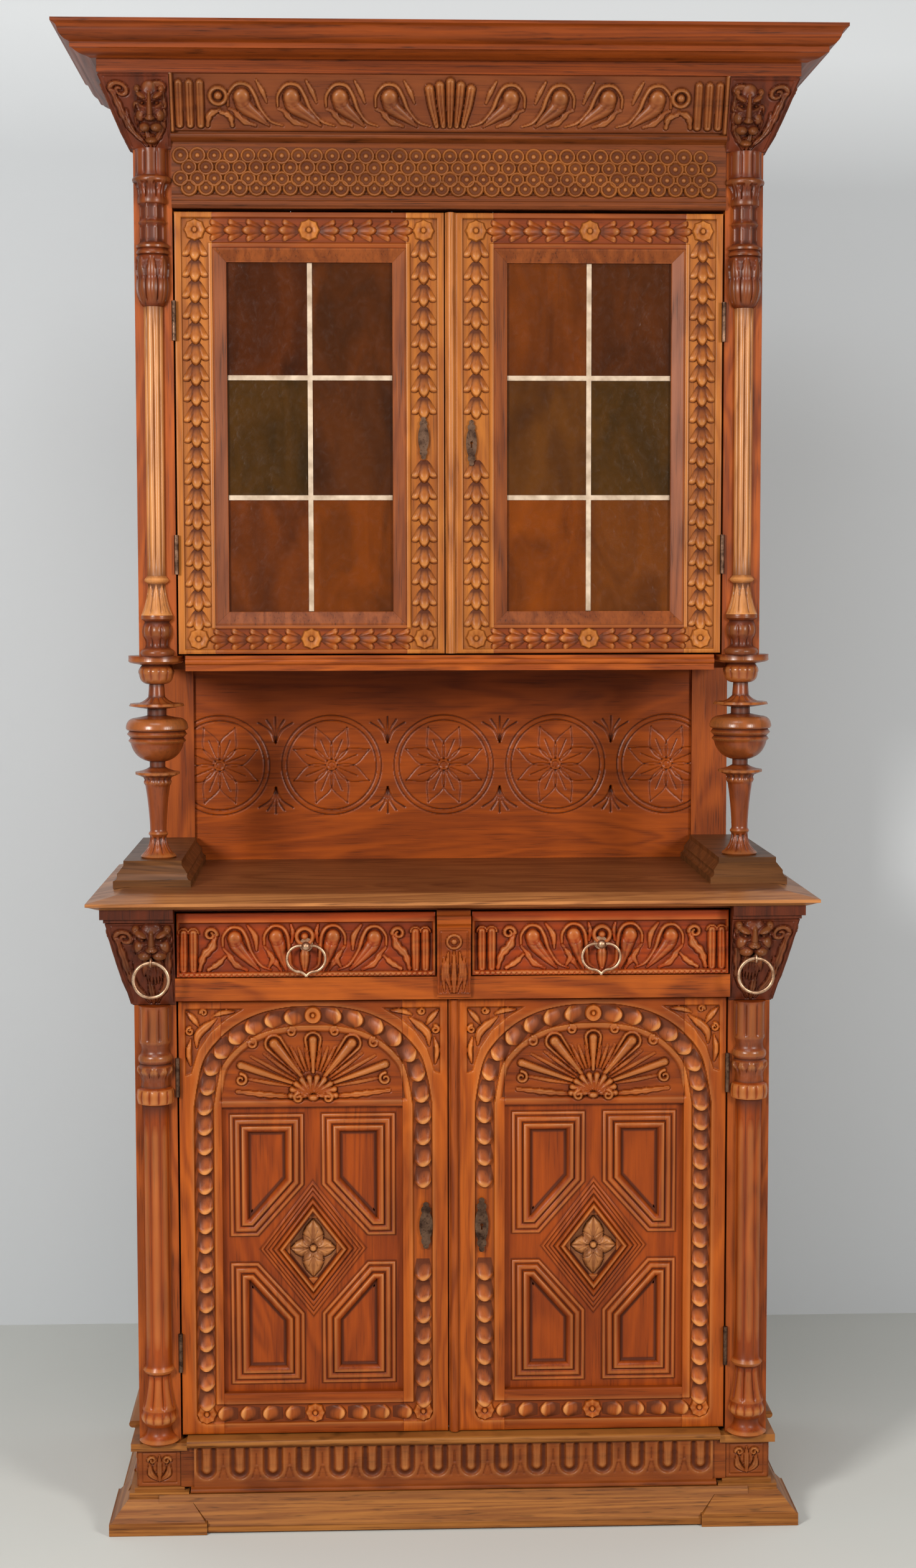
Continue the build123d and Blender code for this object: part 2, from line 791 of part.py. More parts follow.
def corner_frame_section():
    # Bead, quirk, high roll, quirk and a long cavetto down to the field; x runs inwards
    with BuildLine() as outline:
        Polyline((0, -1), (0, 5))
        ThreePointArc((0, 5), (2.5, 7.5), (5, 5))
        Polyline((5, 5), (5, 3.5), (6.5, 3.5), (6.5, 8.5))
        ThreePointArc((6.5, 8.5), (9.5, 11.5), (12.5, 8.5))
        Polyline((12.5, 8.5), (12.5, 6.5), (14, 6.5), (14, 7.5))
        ThreePointArc((14, 7.5), (16.5, 4), (22, 3))
        Polyline((22, 3), (22, -1), (0, -1))
    make_face(outline.edges())


def lozenge_section():
    # A fillet and a roll that falls into the sunk lozenge
    with BuildLine() as outline:
        Polyline((0, -1), (0, 7), (3.5, 7), (3.5, 8.5))
        ThreePointArc((3.5, 8.5), (7, 11.2), (10.5, 8.5))
        Polyline((10.5, 8.5), (13, 5), (13, -1), (0, -1))
    make_face(outline.edges())


def mitred_moulding(corners, section):
    # A moulding run round a closed outline on the panel and mitred at every corner.
    # It starts in the middle of the first side.
    first, second = Vector(*corners[0]), Vector(*corners[1])
    middle = (first + second) / 2
    ahead = (second - first).normalized()
    with BuildLine(panel_face) as path:
        Polyline((middle.X, middle.Y), *corners[1:], corners[0], (middle.X, middle.Y))
    inward = panel_face.x_dir * ahead.Y - panel_face.y_dir * ahead.X
    travel = panel_face.x_dir * ahead.X + panel_face.y_dir * ahead.Y
    start = panel_face.from_local_coords(middle)
    with BuildSketch(Plane(start, x_dir=inward, z_dir=-travel)) as profile:
        section()
    sweep(profile.sketch, path=path.wire(), transition=Transition.RIGHT)


def lozenge_corners(inset):
    half_x = lozenge_half[0] - inset
    half_z = half_x * lozenge_half[1] / lozenge_half[0]
    return ((0, half_z), (half_x, 0), (0, -half_z), (-half_x, 0))


with BuildPart() as lower_right_door_panel:
    board(
        (lower_opening_x[0] - panel_groove, lower_opening_x[1] + panel_groove),
        panel_y,
        (lower_opening_z[0] - panel_groove, lower_opening_z[1] + panel_groove),
    )
    # Four cut-cornered frames round a sunk lozenge
    mitred_moulding(corner_frame_corners, corner_frame_section)
    mirror(about=Plane.YZ.offset(panel_centre_x))
    mirror(about=Plane.XY.offset(panel_centre_z))
    mitred_moulding(lozenge_corners(0), lozenge_section)
    with BuildSketch(panel_face) as sunk_field:
        outline_face(lozenge_corners(14))
    extrude(sunk_field.sketch, amount=-lozenge_sink, mode=Mode.SUBTRACT)
lower_right_door_panel.part.label = "lower_right_door_panel"

with BuildPart() as lower_left_door_frame:
    mirror(lower_right_door_frame.part, about=Plane.YZ)
lower_left_door_frame.part.label = "lower_left_door_frame"

with BuildPart() as lower_left_door_panel:
    mirror(lower_right_door_panel.part, about=Plane.YZ)
lower_left_door_panel.part.label = "lower_left_door_panel"


def astragal(y_range, z_range):
    # A strip on the edge of the right door, with a half-round ridge, level with both fronts
    board((-door_half_gap + 2, door_half_gap), y_range, z_range)
    middle_x = 1
    with Locations((middle_x, y_range[0], z_range[0])):
        Cylinder(7, z_range[1] - z_range[0], align=(Align.CENTER, Align.CENTER, Align.MIN))


with BuildPart() as lower_astragal:
    astragal(lower_door_y, lower_door_z)
lower_astragal.part.label = "lower_astragal"

with BuildPart() as upper_astragal:
    astragal(upper_door_y, upper_door_z)
upper_astragal.part.label = "upper_astragal"

lock_z = {"lower": 500, "upper": 1785}
plate_x = 46

with BuildPart() as lower_right_door_fittings:
    hinge_halves(lower_hinge_y, lower_door_y[0], lower_hinge_heights, True)
    shield_plate(plate_x, lock_z["lower"], 22, 102, lower_door_y[0], True)
    board((16, 76), (lower_door_y[1], lower_door_y[1] + 14), (lock_z["lower"] - 40, lock_z["lower"] + 40))
lower_right_door_fittings.part.label = "lower_right_door_fittings"

with BuildPart() as lower_left_hardware:
    hinge_halves(lower_hinge_y, lower_door_y[0], lower_hinge_heights, True)
    shield_plate(plate_x, lock_z["lower"], 22, 86, lower_door_y[0], False)

with BuildPart() as lower_left_door_fittings:
    mirror(lower_left_hardware.part, about=Plane.YZ)
lower_left_door_fittings.part.label = "lower_left_door_fittings"

# ---- Niche -----------------------------------------------------------------------------

sole_rail_x = 495


def sole_rail_section():
    # A plinth rail, wide at the counter and bevelled up to a narrow top. Its outer edge is
    # scribed down to the slope of the counter.
    with BuildLine() as outline:
        Polyline((-64, counter_top_z), (39, counter_top_z), (47, 1055.6), (54, 1054.6), (64, 1053))
        Line((64, 1053), (64, 1066))
        ThreePointArc((64, 1066), (58, 1071), (58, 1077))
        Polyline((58, 1077), (48, 1090), (48, sole_rail_top_z))
        Polyline((48, sole_rail_top_z), (-48, sole_rail_top_z), (-48, 1090), (-58, 1077))
        ThreePointArc((-58, 1077), (-58, 1071), (-64, 1066))
        Line((-64, 1066), (-64, counter_top_z))
    make_face(outline.edges())


with BuildPart() as sole_rails:
    rail_end = Plane((sole_rail_x, rear_y - rear_post_depth, 0), x_dir=(1, 0, 0), z_dir=(0, -1, 0))
    with BuildSketch(rail_end) as rail:
        sole_rail_section()
    extrude(rail.sketch, amount=rear_y - rear_post_depth + 137)
    # The front end is bevelled like the flanks
    with BuildSketch(Plane.YZ.offset(sole_rail_x - 70)) as bevel:
        outline_face(
            [(-138, 1066), (-131, 1077), (-121, 1090), (-121, 1100), (-140, 1100), (-140, 1066)]
        )
    extrude(bevel.sketch, amount=140, mode=Mode.SUBTRACT)
    mirror(about=Plane.YZ)
sole_rails.part.label = "sole_rails"

with BuildPart() as balusters:
    turning(
        baluster_axis[0],
        baluster_axis[1],
        (28, sole_rail_top_z),
        [
            (28, 1103, 2),
            (14, 1134, -4),
            (16.5, 1138, 0),
            (13.5, 1143, 0),
            (20.5, 1219, -1.2),
            (22, 1221, 0),
            (22, 1229, 1.5),
            (24, 1233, 0),
            (37, 1238, 0),
            (37, 1242, 0),
            (13, 1250, -1.5),
            (13, 1259, 0),
            (44, 1290, 7),
            (48, 1294, 0),
            (44, 1299, 0),
            (50, 1305, 0),
            (46, 1311, 0),
            (51.5, 1319, 3),
            (36, 1332, 4),
            (16, 1336, 0),
            (16, 1347, 0),
            (30, 1349, 0),
            (46, 1352, 0),
            (44, 1356, 0),
            (14, 1367, -4),
            (12.5, 1388, 0),
            (28.5, 1404, 5),
            (28.5, 1414, 1.5),
            (24, 1420, 0),
            (44, 1424, 0),
            (46, 1430, 1.5),
            (46, upper_post_foot_z, 0),
        ],
    )
    mirror(about=Plane.YZ)
balusters.part.label = "balusters"

with BuildPart() as niche_panel:
    board((-rear_post_inner_x, rear_post_inner_x), back_y, (counter_top_z, upper_bottom_z))
    board(
        (-rear_post_inner_x, rear_post_inner_x),
        (back_y[0] - 6, back_y[0]),
        (1352, upper_bottom_z),
    )
niche_panel.part.label = "niche_panel"

# ---- Upper stage: bottom board, friezes and consoles --------------------------------------

with BuildPart() as upper_bottom:
    board((-438, 438), (upper_front_y - 4, -22), (upper_bottom_z, upper_post_foot_z))
    board(
        (-upper_side_x[1], upper_side_x[1]),
        (-22, rear_y - rear_post_depth),
        (upper_bottom_z, upper_post_foot_z),
    )
    # Bead along the front edge
    with Locations(Location((0, upper_front_y - 4, upper_bottom_z + 15), (0, 90, 0))):
        Cylinder(5, 876)
    board((-rear_post_inner_x, rear_post_inner_x), (rear_y - 32, rear_y), (1410, 1437), Mode.SUBTRACT)
upper_bottom.part.label = "upper_bottom"


def scale_frieze_section():
    # Lip, flat field and a double fillet above the doors
    with BuildLine() as outline:
        Polyline((-26, 2163), (5, 2163), (9, 2168), (9, 2174), (6, 2176), (6, 2184), (3, 2186), (3, 2268))
        ThreePointArc((3, 2268), (9, 2271), (14, 2273))
        ThreePointArc((14, 2273), (17, 2277), (14, 2281))
        Polyline((14, 2281), (-26, 2282), (-26, 2163))
    make_face(outline.edges())


friezes_side_y = (upper_post_y[1] + 0.3, rear_y)

with BuildPart() as scale_frieze:
    rail_end = Plane((post_inner_x, upper_front_y, 0), x_dir=(0, -1, 0), z_dir=(-1, 0, 0))
    with BuildSketch(rail_end) as rail_section:
        scale_frieze_section()
    extrude(rail_section.sketch, amount=2 * post_inner_x)
scale_frieze.part.label = "scale_frieze"


def gadroon_frieze_section():
    # The frieze leans out from the lip to the cornice
    outline_face([(0.2, 2283), (12, 2283), (50, gadroon_frieze_top_z), (0.2, gadroon_frieze_top_z)])


with BuildPart() as gadroon_frieze:
    three_lengths(
        upper_half_width,
        upper_front_y,
        post_inner_x - 0.3,
        friezes_side_y,
        gadroon_frieze_section,
    )
    # The rail behind the front length
    board(
        (-post_inner_x + 0.3, post_inner_x - 0.3),
        (upper_front_y - 0.2, upper_front_y + 22),
        (2283, gadroon_frieze_top_z),
    )
gadroon_frieze.part.label = "gadroon_frieze"

with BuildPart() as upper_consoles:
    corner_console(upper_half_width, upper_front_y, upper_post_depth, (2256, 1), (gadroon_frieze_top_z, 50))
    board(
        (post_inner_x - 1, upper_half_width),
        (upper_front_y, upper_front_y + upper_post_depth + 1),
        (2255, gadroon_frieze_top_z + 1),
        Mode.SUBTRACT,
    )
    mirror(about=Plane.YZ)
upper_consoles.part.label = "upper_consoles"

with BuildPart() as console_masks:
    # A long-faced grotesque between leaves, cut to the slope of the console
    with Locations((upper_column_x - 2, -128, 2318)):
        Sphere(22)
    with Locations((upper_column_x - 2, -134, 2296)):
        Sphere(14)
    with Locations((upper_column_x - 2, -122, 2276)):
        Sphere(13)
    split(
        bisect_by=Plane(
            (upper_column_x, upper_front_y - 1, 2256),
            x_dir=(1, 0, 0),
            z_dir=(0, -(gadroon_frieze_top_z - 2256), -49),
        ),
        keep=Keep.TOP,
    )
    mirror(about=Plane.YZ)
console_masks.part.label = "console_masks"

# ---- Cornice ---------------------------------------------------------------------------


def cornice_frame_section():
    outline_face([
        (-40, gadroon_frieze_top_z),
        (52, gadroon_frieze_top_z),
        (52, cornice_frame_top_z),
        (-40, cornice_frame_top_z),
    ])


with BuildPart() as cornice_frame:
    moulding_run(upper_half_width, upper_front_y, cornice_frame_section)
cornice_frame.part.label = "cornice_frame"


def crown_section():
    # Cavetto, fillet and a tall cyma that runs out to a thin top edge
    with BuildLine() as outline:
        Polyline((26, cornice_frame_top_z), (60, cornice_frame_top_z), (66, 2391))
        ThreePointArc((66, 2391), (77, 2393.5), (86, 2399))
        Polyline((86, 2399), (90, 2400), (90, 2408), (92, 2409))
        ThreePointArc((92, 2409), (102, 2415), (107, 2424))
        ThreePointArc((107, 2424), (110, 2431), (115, 2434))
        Polyline((115, 2434), (cornice_overhang, 2435), (cornice_overhang, total_height))
        Polyline((cornice_overhang, total_height), (80, total_height), (26, 2400))
        Line((26, 2400), (26, cornice_frame_top_z))
    make_face(outline.edges())


with BuildPart() as cornice:
    moulding_run(upper_half_width, upper_front_y, crown_section)
cornice.part.label = "cornice"

with BuildPart() as cornice_top:
    # Dust boards across the posts, inside the crown
    for index in range(4):
        x_low = -(upper_half_width + 24) + index * (2 * upper_half_width + 48) / 4
        board(
            (x_low + 0.5, x_low + (2 * upper_half_width + 48) / 4 - 0.5),
            (upper_front_y - 22, rear_y),
            (cornice_frame_top_z, cornice_frame_top_z + 11),
        )
cornice_top.part.label = "cornice_top"

# ---- Upper doors -----------------------------------------------------------------------

with BuildPart() as upper_right_door_frame:
    door_frame(upper_door_y, upper_door_z, upper_opening_x, upper_opening_z)
upper_right_door_frame.part.label = "upper_right_door_frame"

glass_y = (upper_door_y[0] + 17, upper_door_y[0] + 17 + glass_thickness)
glass_centre_x = (upper_opening_x[0] + upper_opening_x[1]) / 2
glass_centre_z = (upper_opening_z[0] + upper_opening_z[1]) / 2
opening_width = upper_opening_x[1] - upper_opening_x[0] - 0.4
opening_height = upper_opening_z[1] - upper_opening_z[0] - 0.4
bead_plane = Plane((glass_centre_x, upper_door_y[0] + 2, glass_centre_z), x_dir=(1, 0, 0), z_dir=(0, -1, 0))

with BuildPart() as upper_right_glazing_beads:
    # The front bead is a mitred frame whose face slopes down to the glass
    with BuildSketch(bead_plane.offset(-15)):
        Rectangle(opening_width, opening_height)
        Rectangle(opening_width - 2 * bead_width, opening_height - 2 * bead_width, mode=Mode.SUBTRACT)
    extrude(amount=15)
    with BuildSketch(bead_plane) as slope_mouth:
        Rectangle(opening_width - 6, opening_height - 6)
    with BuildSketch(bead_plane.offset(-9)) as slope_throat:
        Rectangle(opening_width - 2 * bead_width + 2, opening_height - 2 * bead_width + 2)
    loft([slope_throat.sketch, slope_mouth.sketch], mode=Mode.SUBTRACT)
    # Four plain strips hold the glass from behind
    strip_y = (glass_y[1] + 0.1, upper_door_y[1])
    edge_x = (glass_centre_x - opening_width / 2, glass_centre_x + opening_width / 2)
    edge_z = (glass_centre_z - opening_height / 2, glass_centre_z + opening_height / 2)
    board((edge_x[0], edge_x[0] + 10), strip_y, edge_z)
    board((edge_x[1] - 10, edge_x[1]), strip_y, edge_z)
    board((edge_x[0] + 10.2, edge_x[1] - 10.2), strip_y, (edge_z[0], edge_z[0] + 10))
    board((edge_x[0] + 10.2, edge_x[1] - 10.2), strip_y, (edge_z[1] - 10, edge_z[1]))
    # Saw kerfs at the four mitres
    for turn_x in (-1, 1):
        for turn_z in (-1, 1):
            mitre = Location(
                (
                    glass_centre_x + turn_x * (opening_width - bead_width) / 2,
                    upper_door_y[0] + 9,
                    glass_centre_z + turn_z * (opening_height - bead_width) / 2,
                ),
                (0, -45 * turn_x * turn_z, 0),
            )
            with Locations(mitre):
                Box(60, 17, 0.2, mode=Mode.SUBTRACT)
upper_right_glazing_beads.part.label = "upper_right_glazing_beads"

glass_edge = 6
pane_rows = (
    (upper_opening_z[0] + glass_edge, came_heights[0] - came_core / 2 - 0.1),
    (came_heights[0] + came_core / 2 + 0.1, came_heights[1] - came_core / 2 - 0.1),
    (came_heights[1] + came_core / 2 + 0.1, upper_opening_z[1] - glass_edge),
)
pane_columns = (
    (upper_opening_x[0] + glass_edge, came_x - came_core / 2 - 0.1),
    (came_x + came_core / 2 + 0.1, upper_opening_x[1] - glass_edge),
)

with BuildPart() as upper_right_panes:
    for x_range in pane_columns:
        for z_range in pane_rows:
            board(x_range, (glass_y[0] + 0.1, glass_y[1]), z_range)
upper_right_panes.part.label = "upper_right_panes"

came_half = came_width / 2
came_clear_x = (upper_opening_x[0] + bead_width + 1, upper_opening_x[1] - bead_width - 1)
came_clear_z = (upper_opening_z[0] + bead_width + 1, upper_opening_z[1] - bead_width - 1)

with BuildPart() as upper_right_cames:
    # H-section lead: a core between the panes and a flange on each face
    for y_range, half in (
        ((glass_y[0] - 1.4, glass_y[0]), came_half),
        ((glass_y[0], glass_y[1] + 0.1), came_core / 2),
        ((glass_y[1] + 0.1, glass_y[1] + 1.5), came_half),
    ):
        board((came_x - half, came_x + half), y_range, came_clear_z)
        for height in came_heights:
            board(came_clear_x, y_range, (height - half, height + half))
upper_right_cames.part.label = "upper_right_cames"

with BuildPart() as upper_left_door_frame:
    mirror(upper_right_door_frame.part, about=Plane.YZ)
upper_left_door_frame.part.label = "upper_left_door_frame"

with BuildPart() as upper_left_glazing_beads:
    mirror(upper_right_glazing_beads.part, about=Plane.YZ)
upper_left_glazing_beads.part.label = "upper_left_glazing_beads"

with BuildPart() as upper_left_panes:
    mirror(upper_right_panes.part, about=Plane.YZ)
upper_left_panes.part.label = "upper_left_panes"

with BuildPart() as upper_left_cames:
    mirror(upper_right_cames.part, about=Plane.YZ)
upper_left_cames.part.label = "upper_left_cames"

with BuildPart() as upper_right_door_fittings:
    hinge_halves(upper_hinge_y, upper_door_y[0], upper_hinge_heights, True)
    shield_plate(35, lock_z["upper"], 18, 84, upper_door_y[0], True)
    board((14, 66), (upper_door_y[1], upper_door_y[1] + 14), (lock_z["upper"] - 36, lock_z["upper"] + 36))
upper_right_door_fittings.part.label = "upper_right_door_fittings"

with BuildPart() as upper_left_hardware:
    hinge_halves(upper_hinge_y, upper_door_y[0], upper_hinge_heights, True)
    shield_plate(44, lock_z["upper"] + 8, 18, 78, upper_door_y[0], False)

with BuildPart() as upper_left_door_fittings:
    mirror(upper_left_hardware.part, about=Plane.YZ)
upper_left_door_fittings.part.label = "upper_left_door_fittings"

with BuildPart() as case_hinges:
    hinge_halves(lower_hinge_y, lower_door_y[0], lower_hinge_heights, False)
    hinge_halves(upper_hinge_y, upper_door_y[0], upper_hinge_heights, False)
    mirror(about=Plane.YZ)
case_hinges.part.label = "case_hinges"

# ---- Export ----------------------------------------------------------------------------

pieces = [
    front_feet, base_boards, base_skirts, base_cap,
    front_posts, rear_posts, columns, side_rails, side_panels, back_boards, lower_bottom,
    shelves, shelf_cleats, lower_front_rails, drawer_divider, drawer_runners,
    lower_consoles, lion_masks, ring_eyes, left_ring, right_ring, counter_top,
    right_drawer_front, right_drawer_box, right_drawer_knob, right_drawer_bail,
    left_drawer_front, left_drawer_box, left_drawer_knob, left_drawer_bail,
    lower_right_door_frame, lower_right_door_panel, lower_right_door_fittings, lower_astragal,
    lower_left_door_frame, lower_left_door_panel, lower_left_door_fittings,
    sole_rails, balusters, niche_panel,
    upper_bottom, scale_frieze, gadroon_frieze, upper_consoles, console_masks,
    cornice_frame, cornice, cornice_top,
    upper_right_door_frame, upper_right_glazing_beads, upper_right_panes, upper_right_cames,
    upper_right_door_fittings, upper_astragal,
    upper_left_door_frame, upper_left_glazing_beads, upper_left_panes, upper_left_cames,
    upper_left_door_fittings,
    case_hinges,
]

os.makedirs("parts", exist_ok=True)
for piece in pieces:
    export_step(piece.part, f"parts/{piece.part.label}.step")
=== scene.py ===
import math

import bpy
import numpy as np
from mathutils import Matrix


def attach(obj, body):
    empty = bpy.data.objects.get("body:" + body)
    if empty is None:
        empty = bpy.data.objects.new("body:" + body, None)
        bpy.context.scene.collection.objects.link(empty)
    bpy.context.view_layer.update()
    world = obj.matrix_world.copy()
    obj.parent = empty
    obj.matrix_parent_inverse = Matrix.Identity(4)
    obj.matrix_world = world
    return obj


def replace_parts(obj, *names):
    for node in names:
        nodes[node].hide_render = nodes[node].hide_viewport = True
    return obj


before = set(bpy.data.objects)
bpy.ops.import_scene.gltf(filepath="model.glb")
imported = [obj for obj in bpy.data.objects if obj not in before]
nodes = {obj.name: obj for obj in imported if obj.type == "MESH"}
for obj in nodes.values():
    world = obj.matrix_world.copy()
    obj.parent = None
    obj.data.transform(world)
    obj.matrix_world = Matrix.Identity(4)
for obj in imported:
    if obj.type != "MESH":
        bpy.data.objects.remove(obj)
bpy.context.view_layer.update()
scene = bpy.context.scene
sides = ((1, "Right"), (-1, "Left"))
front = (0, -1, 0)
print("frame loaded:", len(nodes), "nodes")


# colours and node helpers

def paint(red, green, blue):
    # a colour given as a paint chart gives it, 0 to 255, turned into scene values
    values = []
    for part in (red, green, blue):
        share = part / 255
        values.append(share / 12.92 if share <= 0.04045 else ((share + 0.055) / 1.055) ** 2.4)
    return (*values, 1.0)


def setInputs(tree, node, inputs):
    for key, value in inputs.items():
        if isinstance(value, bpy.types.NodeSocket):
            tree.links.new(value, node.inputs[key])
        else:
            node.inputs[key].default_value = value


def addNode(tree, kind, inputs=None, **settings):
    node = tree.nodes.new(kind)
    for key, value in settings.items():
        setattr(node, key, value)
    setInputs(tree, node, inputs or {})
    return node


def mathNode(tree, operation, first, second=0.0, third=None, clamp=False):
    inputs = {0: first, 1: second}
    if third is not None:
        inputs[2] = third
    return addNode(tree, "ShaderNodeMath", inputs, operation=operation, use_clamp=clamp).outputs[0]


def mixColour(tree, factor, first, second, blend="MIX"):
    inputs = {0: factor, 6: first, 7: second}
    return addNode(tree, "ShaderNodeMix", inputs, data_type="RGBA", blend_type=blend).outputs[2]


def remap(tree, value, low, high, outLow=0.0, outHigh=1.0):
    inputs = {0: value, 1: low, 2: high, 3: outLow, 4: outHigh}
    return addNode(tree, "ShaderNodeMapRange", inputs).outputs[0]


def noise(tree, vector, scale, detail, roughness=0.5, distortion=0.0):
    return addNode(tree, "ShaderNodeTexNoise", {
        "Vector": vector, "Scale": scale, "Detail": detail, "Roughness": roughness, "Distortion": distortion,
    }).outputs[0]


def stretched(tree, vector, scale, turn=(0, 0, 0)):
    return addNode(tree, "ShaderNodeMapping", {"Vector": vector, "Rotation": turn, "Scale": scale}).outputs[0]


def newGroup(name, kind, inputs, outputs):
    tree = bpy.data.node_groups.new(name, kind)
    for way, sockets in (("OUTPUT", outputs), ("INPUT", inputs)):
        for label, socket, *value in sockets:
            made = tree.interface.new_socket(label, in_out=way, socket_type="NodeSocket" + socket)
            if value:
                made.default_value = value[0]
    return tree, addNode(tree, "NodeGroupInput").outputs


def newMaterial(name):
    material = bpy.data.materials.new(name)
    material.use_nodes = True
    tree = material.node_tree
    return material, tree, addNode(tree, "ShaderNodeTexCoord").outputs["Object"]


def finishShader(tree, colour, roughness, relief, strength, distance, plain):
    bump = addNode(tree, "ShaderNodeBump", {"Height": relief, "Strength": strength, "Distance": distance})
    sockets = {"Base Color": colour, "Roughness": roughness, "Normal": bump.outputs[0], **plain}
    setInputs(tree, tree.nodes["Principled BSDF"], sockets)


# shared finishes

def buildOakGrain():
    # long fibres, open pores and a slow figure; the grain of the vector handed in runs along Z
    tree, given = newGroup(
        "oakGrain", "ShaderNodeTree",
        [("Vector", "Vector"), ("Fibre Scale", "Float", 150.0), ("Figure Scale", "Float", 9.0),
         ("Pore Scale", "Float", 420.0)],
        [("Tone", "Float"), ("Pores", "Float"), ("Wear", "Float"), ("Height", "Float")])
    long = stretched(tree, given["Vector"], (1, 1, 0.035))
    slow = stretched(tree, given["Vector"], (1, 1, 0.16))
    fibre = noise(tree, long, given["Fibre Scale"], 4.0, 0.62)
    figure = noise(tree, slow, given["Figure Scale"], 3.0, 0.55, 0.9)
    rings = remap(tree, mathNode(tree, "SINE", mathNode(tree, "MULTIPLY", figure, 46.0)), -1.0, 1.0)
    pores = remap(tree, noise(tree, long, given["Pore Scale"], 2.0), 0.56, 0.70)
    pores = mathNode(tree, "MULTIPLY", pores, remap(tree, rings, 0.0, 1.0, 1.0, 0.35))
    wear = noise(tree, given["Vector"], 4.5, 4.0, 0.6)
    tone = mathNode(tree, "MULTIPLY_ADD", fibre, 0.62, mathNode(tree, "MULTIPLY", rings, 0.30))
    tone = mathNode(tree, "ADD", tone, mathNode(tree, "MULTIPLY_ADD", figure, 0.30, -0.12), clamp=True)
    height = mathNode(tree, "SUBTRACT", fibre, mathNode(tree, "MULTIPLY", pores, 0.8))
    addNode(tree, "NodeGroupOutput", {"Tone": tone, "Pores": pores, "Wear": wear, "Height": height})
    return tree


# dark wax with painted shade for the cuts, rubbed wood with a painted highlight for the crests
waxAndLightColours = {"crevice": (64, 24, 7), "crest": (236, 162, 92)}


def buildPatinaAndPaintedLight():
    # old wax stays dark in the cuts, with painted shade laid there too, and the crests are rubbed bright, with a
    # painted highlight on them
    tree, given = newGroup(
        "patinaAndPaintedLight", "ShaderNodeTree",
        [("Color", "Color"), ("Carve", "Float"), ("Wear", "Float"), ("Depth", "Float"), ("Rub", "Float")],
        [("Color", "Color"), ("Sheen", "Float")])
    # painted shade, together with old wax, where the carve value is low
    crevice = remap(tree, given["Carve"], 0.46, 0.08)
    # painted highlight, together with rubbed wear, where the carve value is high
    crest = remap(tree, given["Carve"], 0.56, 0.92)
    crest = mathNode(tree, "MULTIPLY", crest, remap(tree, given["Wear"], 0.3, 0.7, 0.55, 1.0))
    sunk = mathNode(tree, "MULTIPLY", crevice, given["Depth"])
    rubbedAndLit = mathNode(tree, "MULTIPLY", crest, given["Rub"])
    dark = mixColour(tree, sunk, given["Color"], paint(*waxAndLightColours["crevice"]))
    bright = mixColour(tree, rubbedAndLit, dark, paint(*waxAndLightColours["crest"]))
    dull, shiny = mathNode(tree, "MULTIPLY", crevice, 0.25), mathNode(tree, "MULTIPLY", crest, 0.10)
    addNode(tree, "NodeGroupOutput", {"Color": bright, "Sheen": mathNode(tree, "SUBTRACT", dull, shiny)})
    return tree


oakGrain = buildOakGrain()
patinaAndPaintedLight = buildPatinaAndPaintedLight()

# which way the grain runs: along the height, the width, the depth, or the width and depth together
grainTurns = {
    "up": ((0, 0, 0), (1, 1, 1)),
    "across": ((0, math.pi / 2, 0), (1, 1, 1)),
    "deep": ((math.pi / 2, 0, 0), (1, 1, 1)),
    "round": ((0, 0, 0), (0.05, 0.05, 26.0)),
}
oakLook = {
    "carved": {"contrast": 1.25, "pores": 0.42, "mottle": (0.86, 1.12)},
    "plain": {"contrast": 1.7, "pores": 0.62, "mottle": (0.8, 1.16)},
    "middleTone": 0.49, "poreShade": 0.42, "darkTop": (0.52, 0.45, 0.42, 1), "darkTopEdge": 0.0008,
}


def makeOak(name, light, dark, grain="up", depth=None, rubAndHighlight=0.5, rough=0.42, shine=0.2, darkTopAbove=None):
    # a wood with a depth is carved: depth darkens its cuts with dark wax and painted shade, and the rub share
    # brightens its crests with rubbed wear and a painted highlight
    material, tree, place = newMaterial(name)
    turn, stretch = grainTurns[grain]
    laid = stretched(tree, place, stretch, turn)
    wood = addNode(tree, "ShaderNodeGroup", {"Vector": laid}, node_tree=oakGrain).outputs
    look = oakLook["plain" if depth is None else "carved"]
    middle, half = oakLook["middleTone"], 0.5 / look["contrast"]
    tone = remap(tree, wood["Tone"], middle - half, middle + half)
    colour = mixColour(tree, tone, paint(*dark), paint(*light))
    poreColour = paint(*[part * oakLook["poreShade"] for part in dark])
    colour = mixColour(tree, mathNode(tree, "MULTIPLY", wood["Pores"], look["pores"]), colour, poreColour)
    mottle = remap(tree, wood["Wear"], 0.3, 0.7, *look["mottle"])
    mottle = mixColour(tree, 1.0, (1, 1, 1, 1), mottle, "MULTIPLY")
    colour = mixColour(tree, 1.0, colour, mottle, "MULTIPLY")
    if darkTopAbove:  # the top face above this height is darker
        height = addNode(tree, "ShaderNodeSeparateXYZ", {0: place}).outputs["Z"]
        top = remap(tree, height, darkTopAbove, darkTopAbove + oakLook["darkTopEdge"])
        colour = mixColour(tree, top, colour, mixColour(tree, 1.0, colour, oakLook["darkTop"], "MULTIPLY"))
    gloss = mathNode(tree, "MULTIPLY_ADD", wood["Tone"], -0.10, rough + 0.05)
    # the carve attribute lays painted shade in the cuts and a painted highlight on the crests
    if depth is not None:
        cuts = addNode(tree, "ShaderNodeAttribute", attribute_name="carve").outputs["Fac"]
        inputs = {"Color": colour, "Carve": cuts, "Wear": wood["Wear"], "Depth": depth, "Rub": rubAndHighlight}
        waxAndLight = addNode(tree, "ShaderNodeGroup", inputs, node_tree=patinaAndPaintedLight).outputs
        colour = waxAndLight["Color"]
        gloss = mathNode(tree, "ADD", gloss, waxAndLight["Sheen"])
    finishShader(tree, colour, gloss, wood["Height"], 0.22, 0.0006,
                 {"Specular IOR Level": shine, "Coat Weight": 0.05, "Coat Roughness": 0.26})
    return material
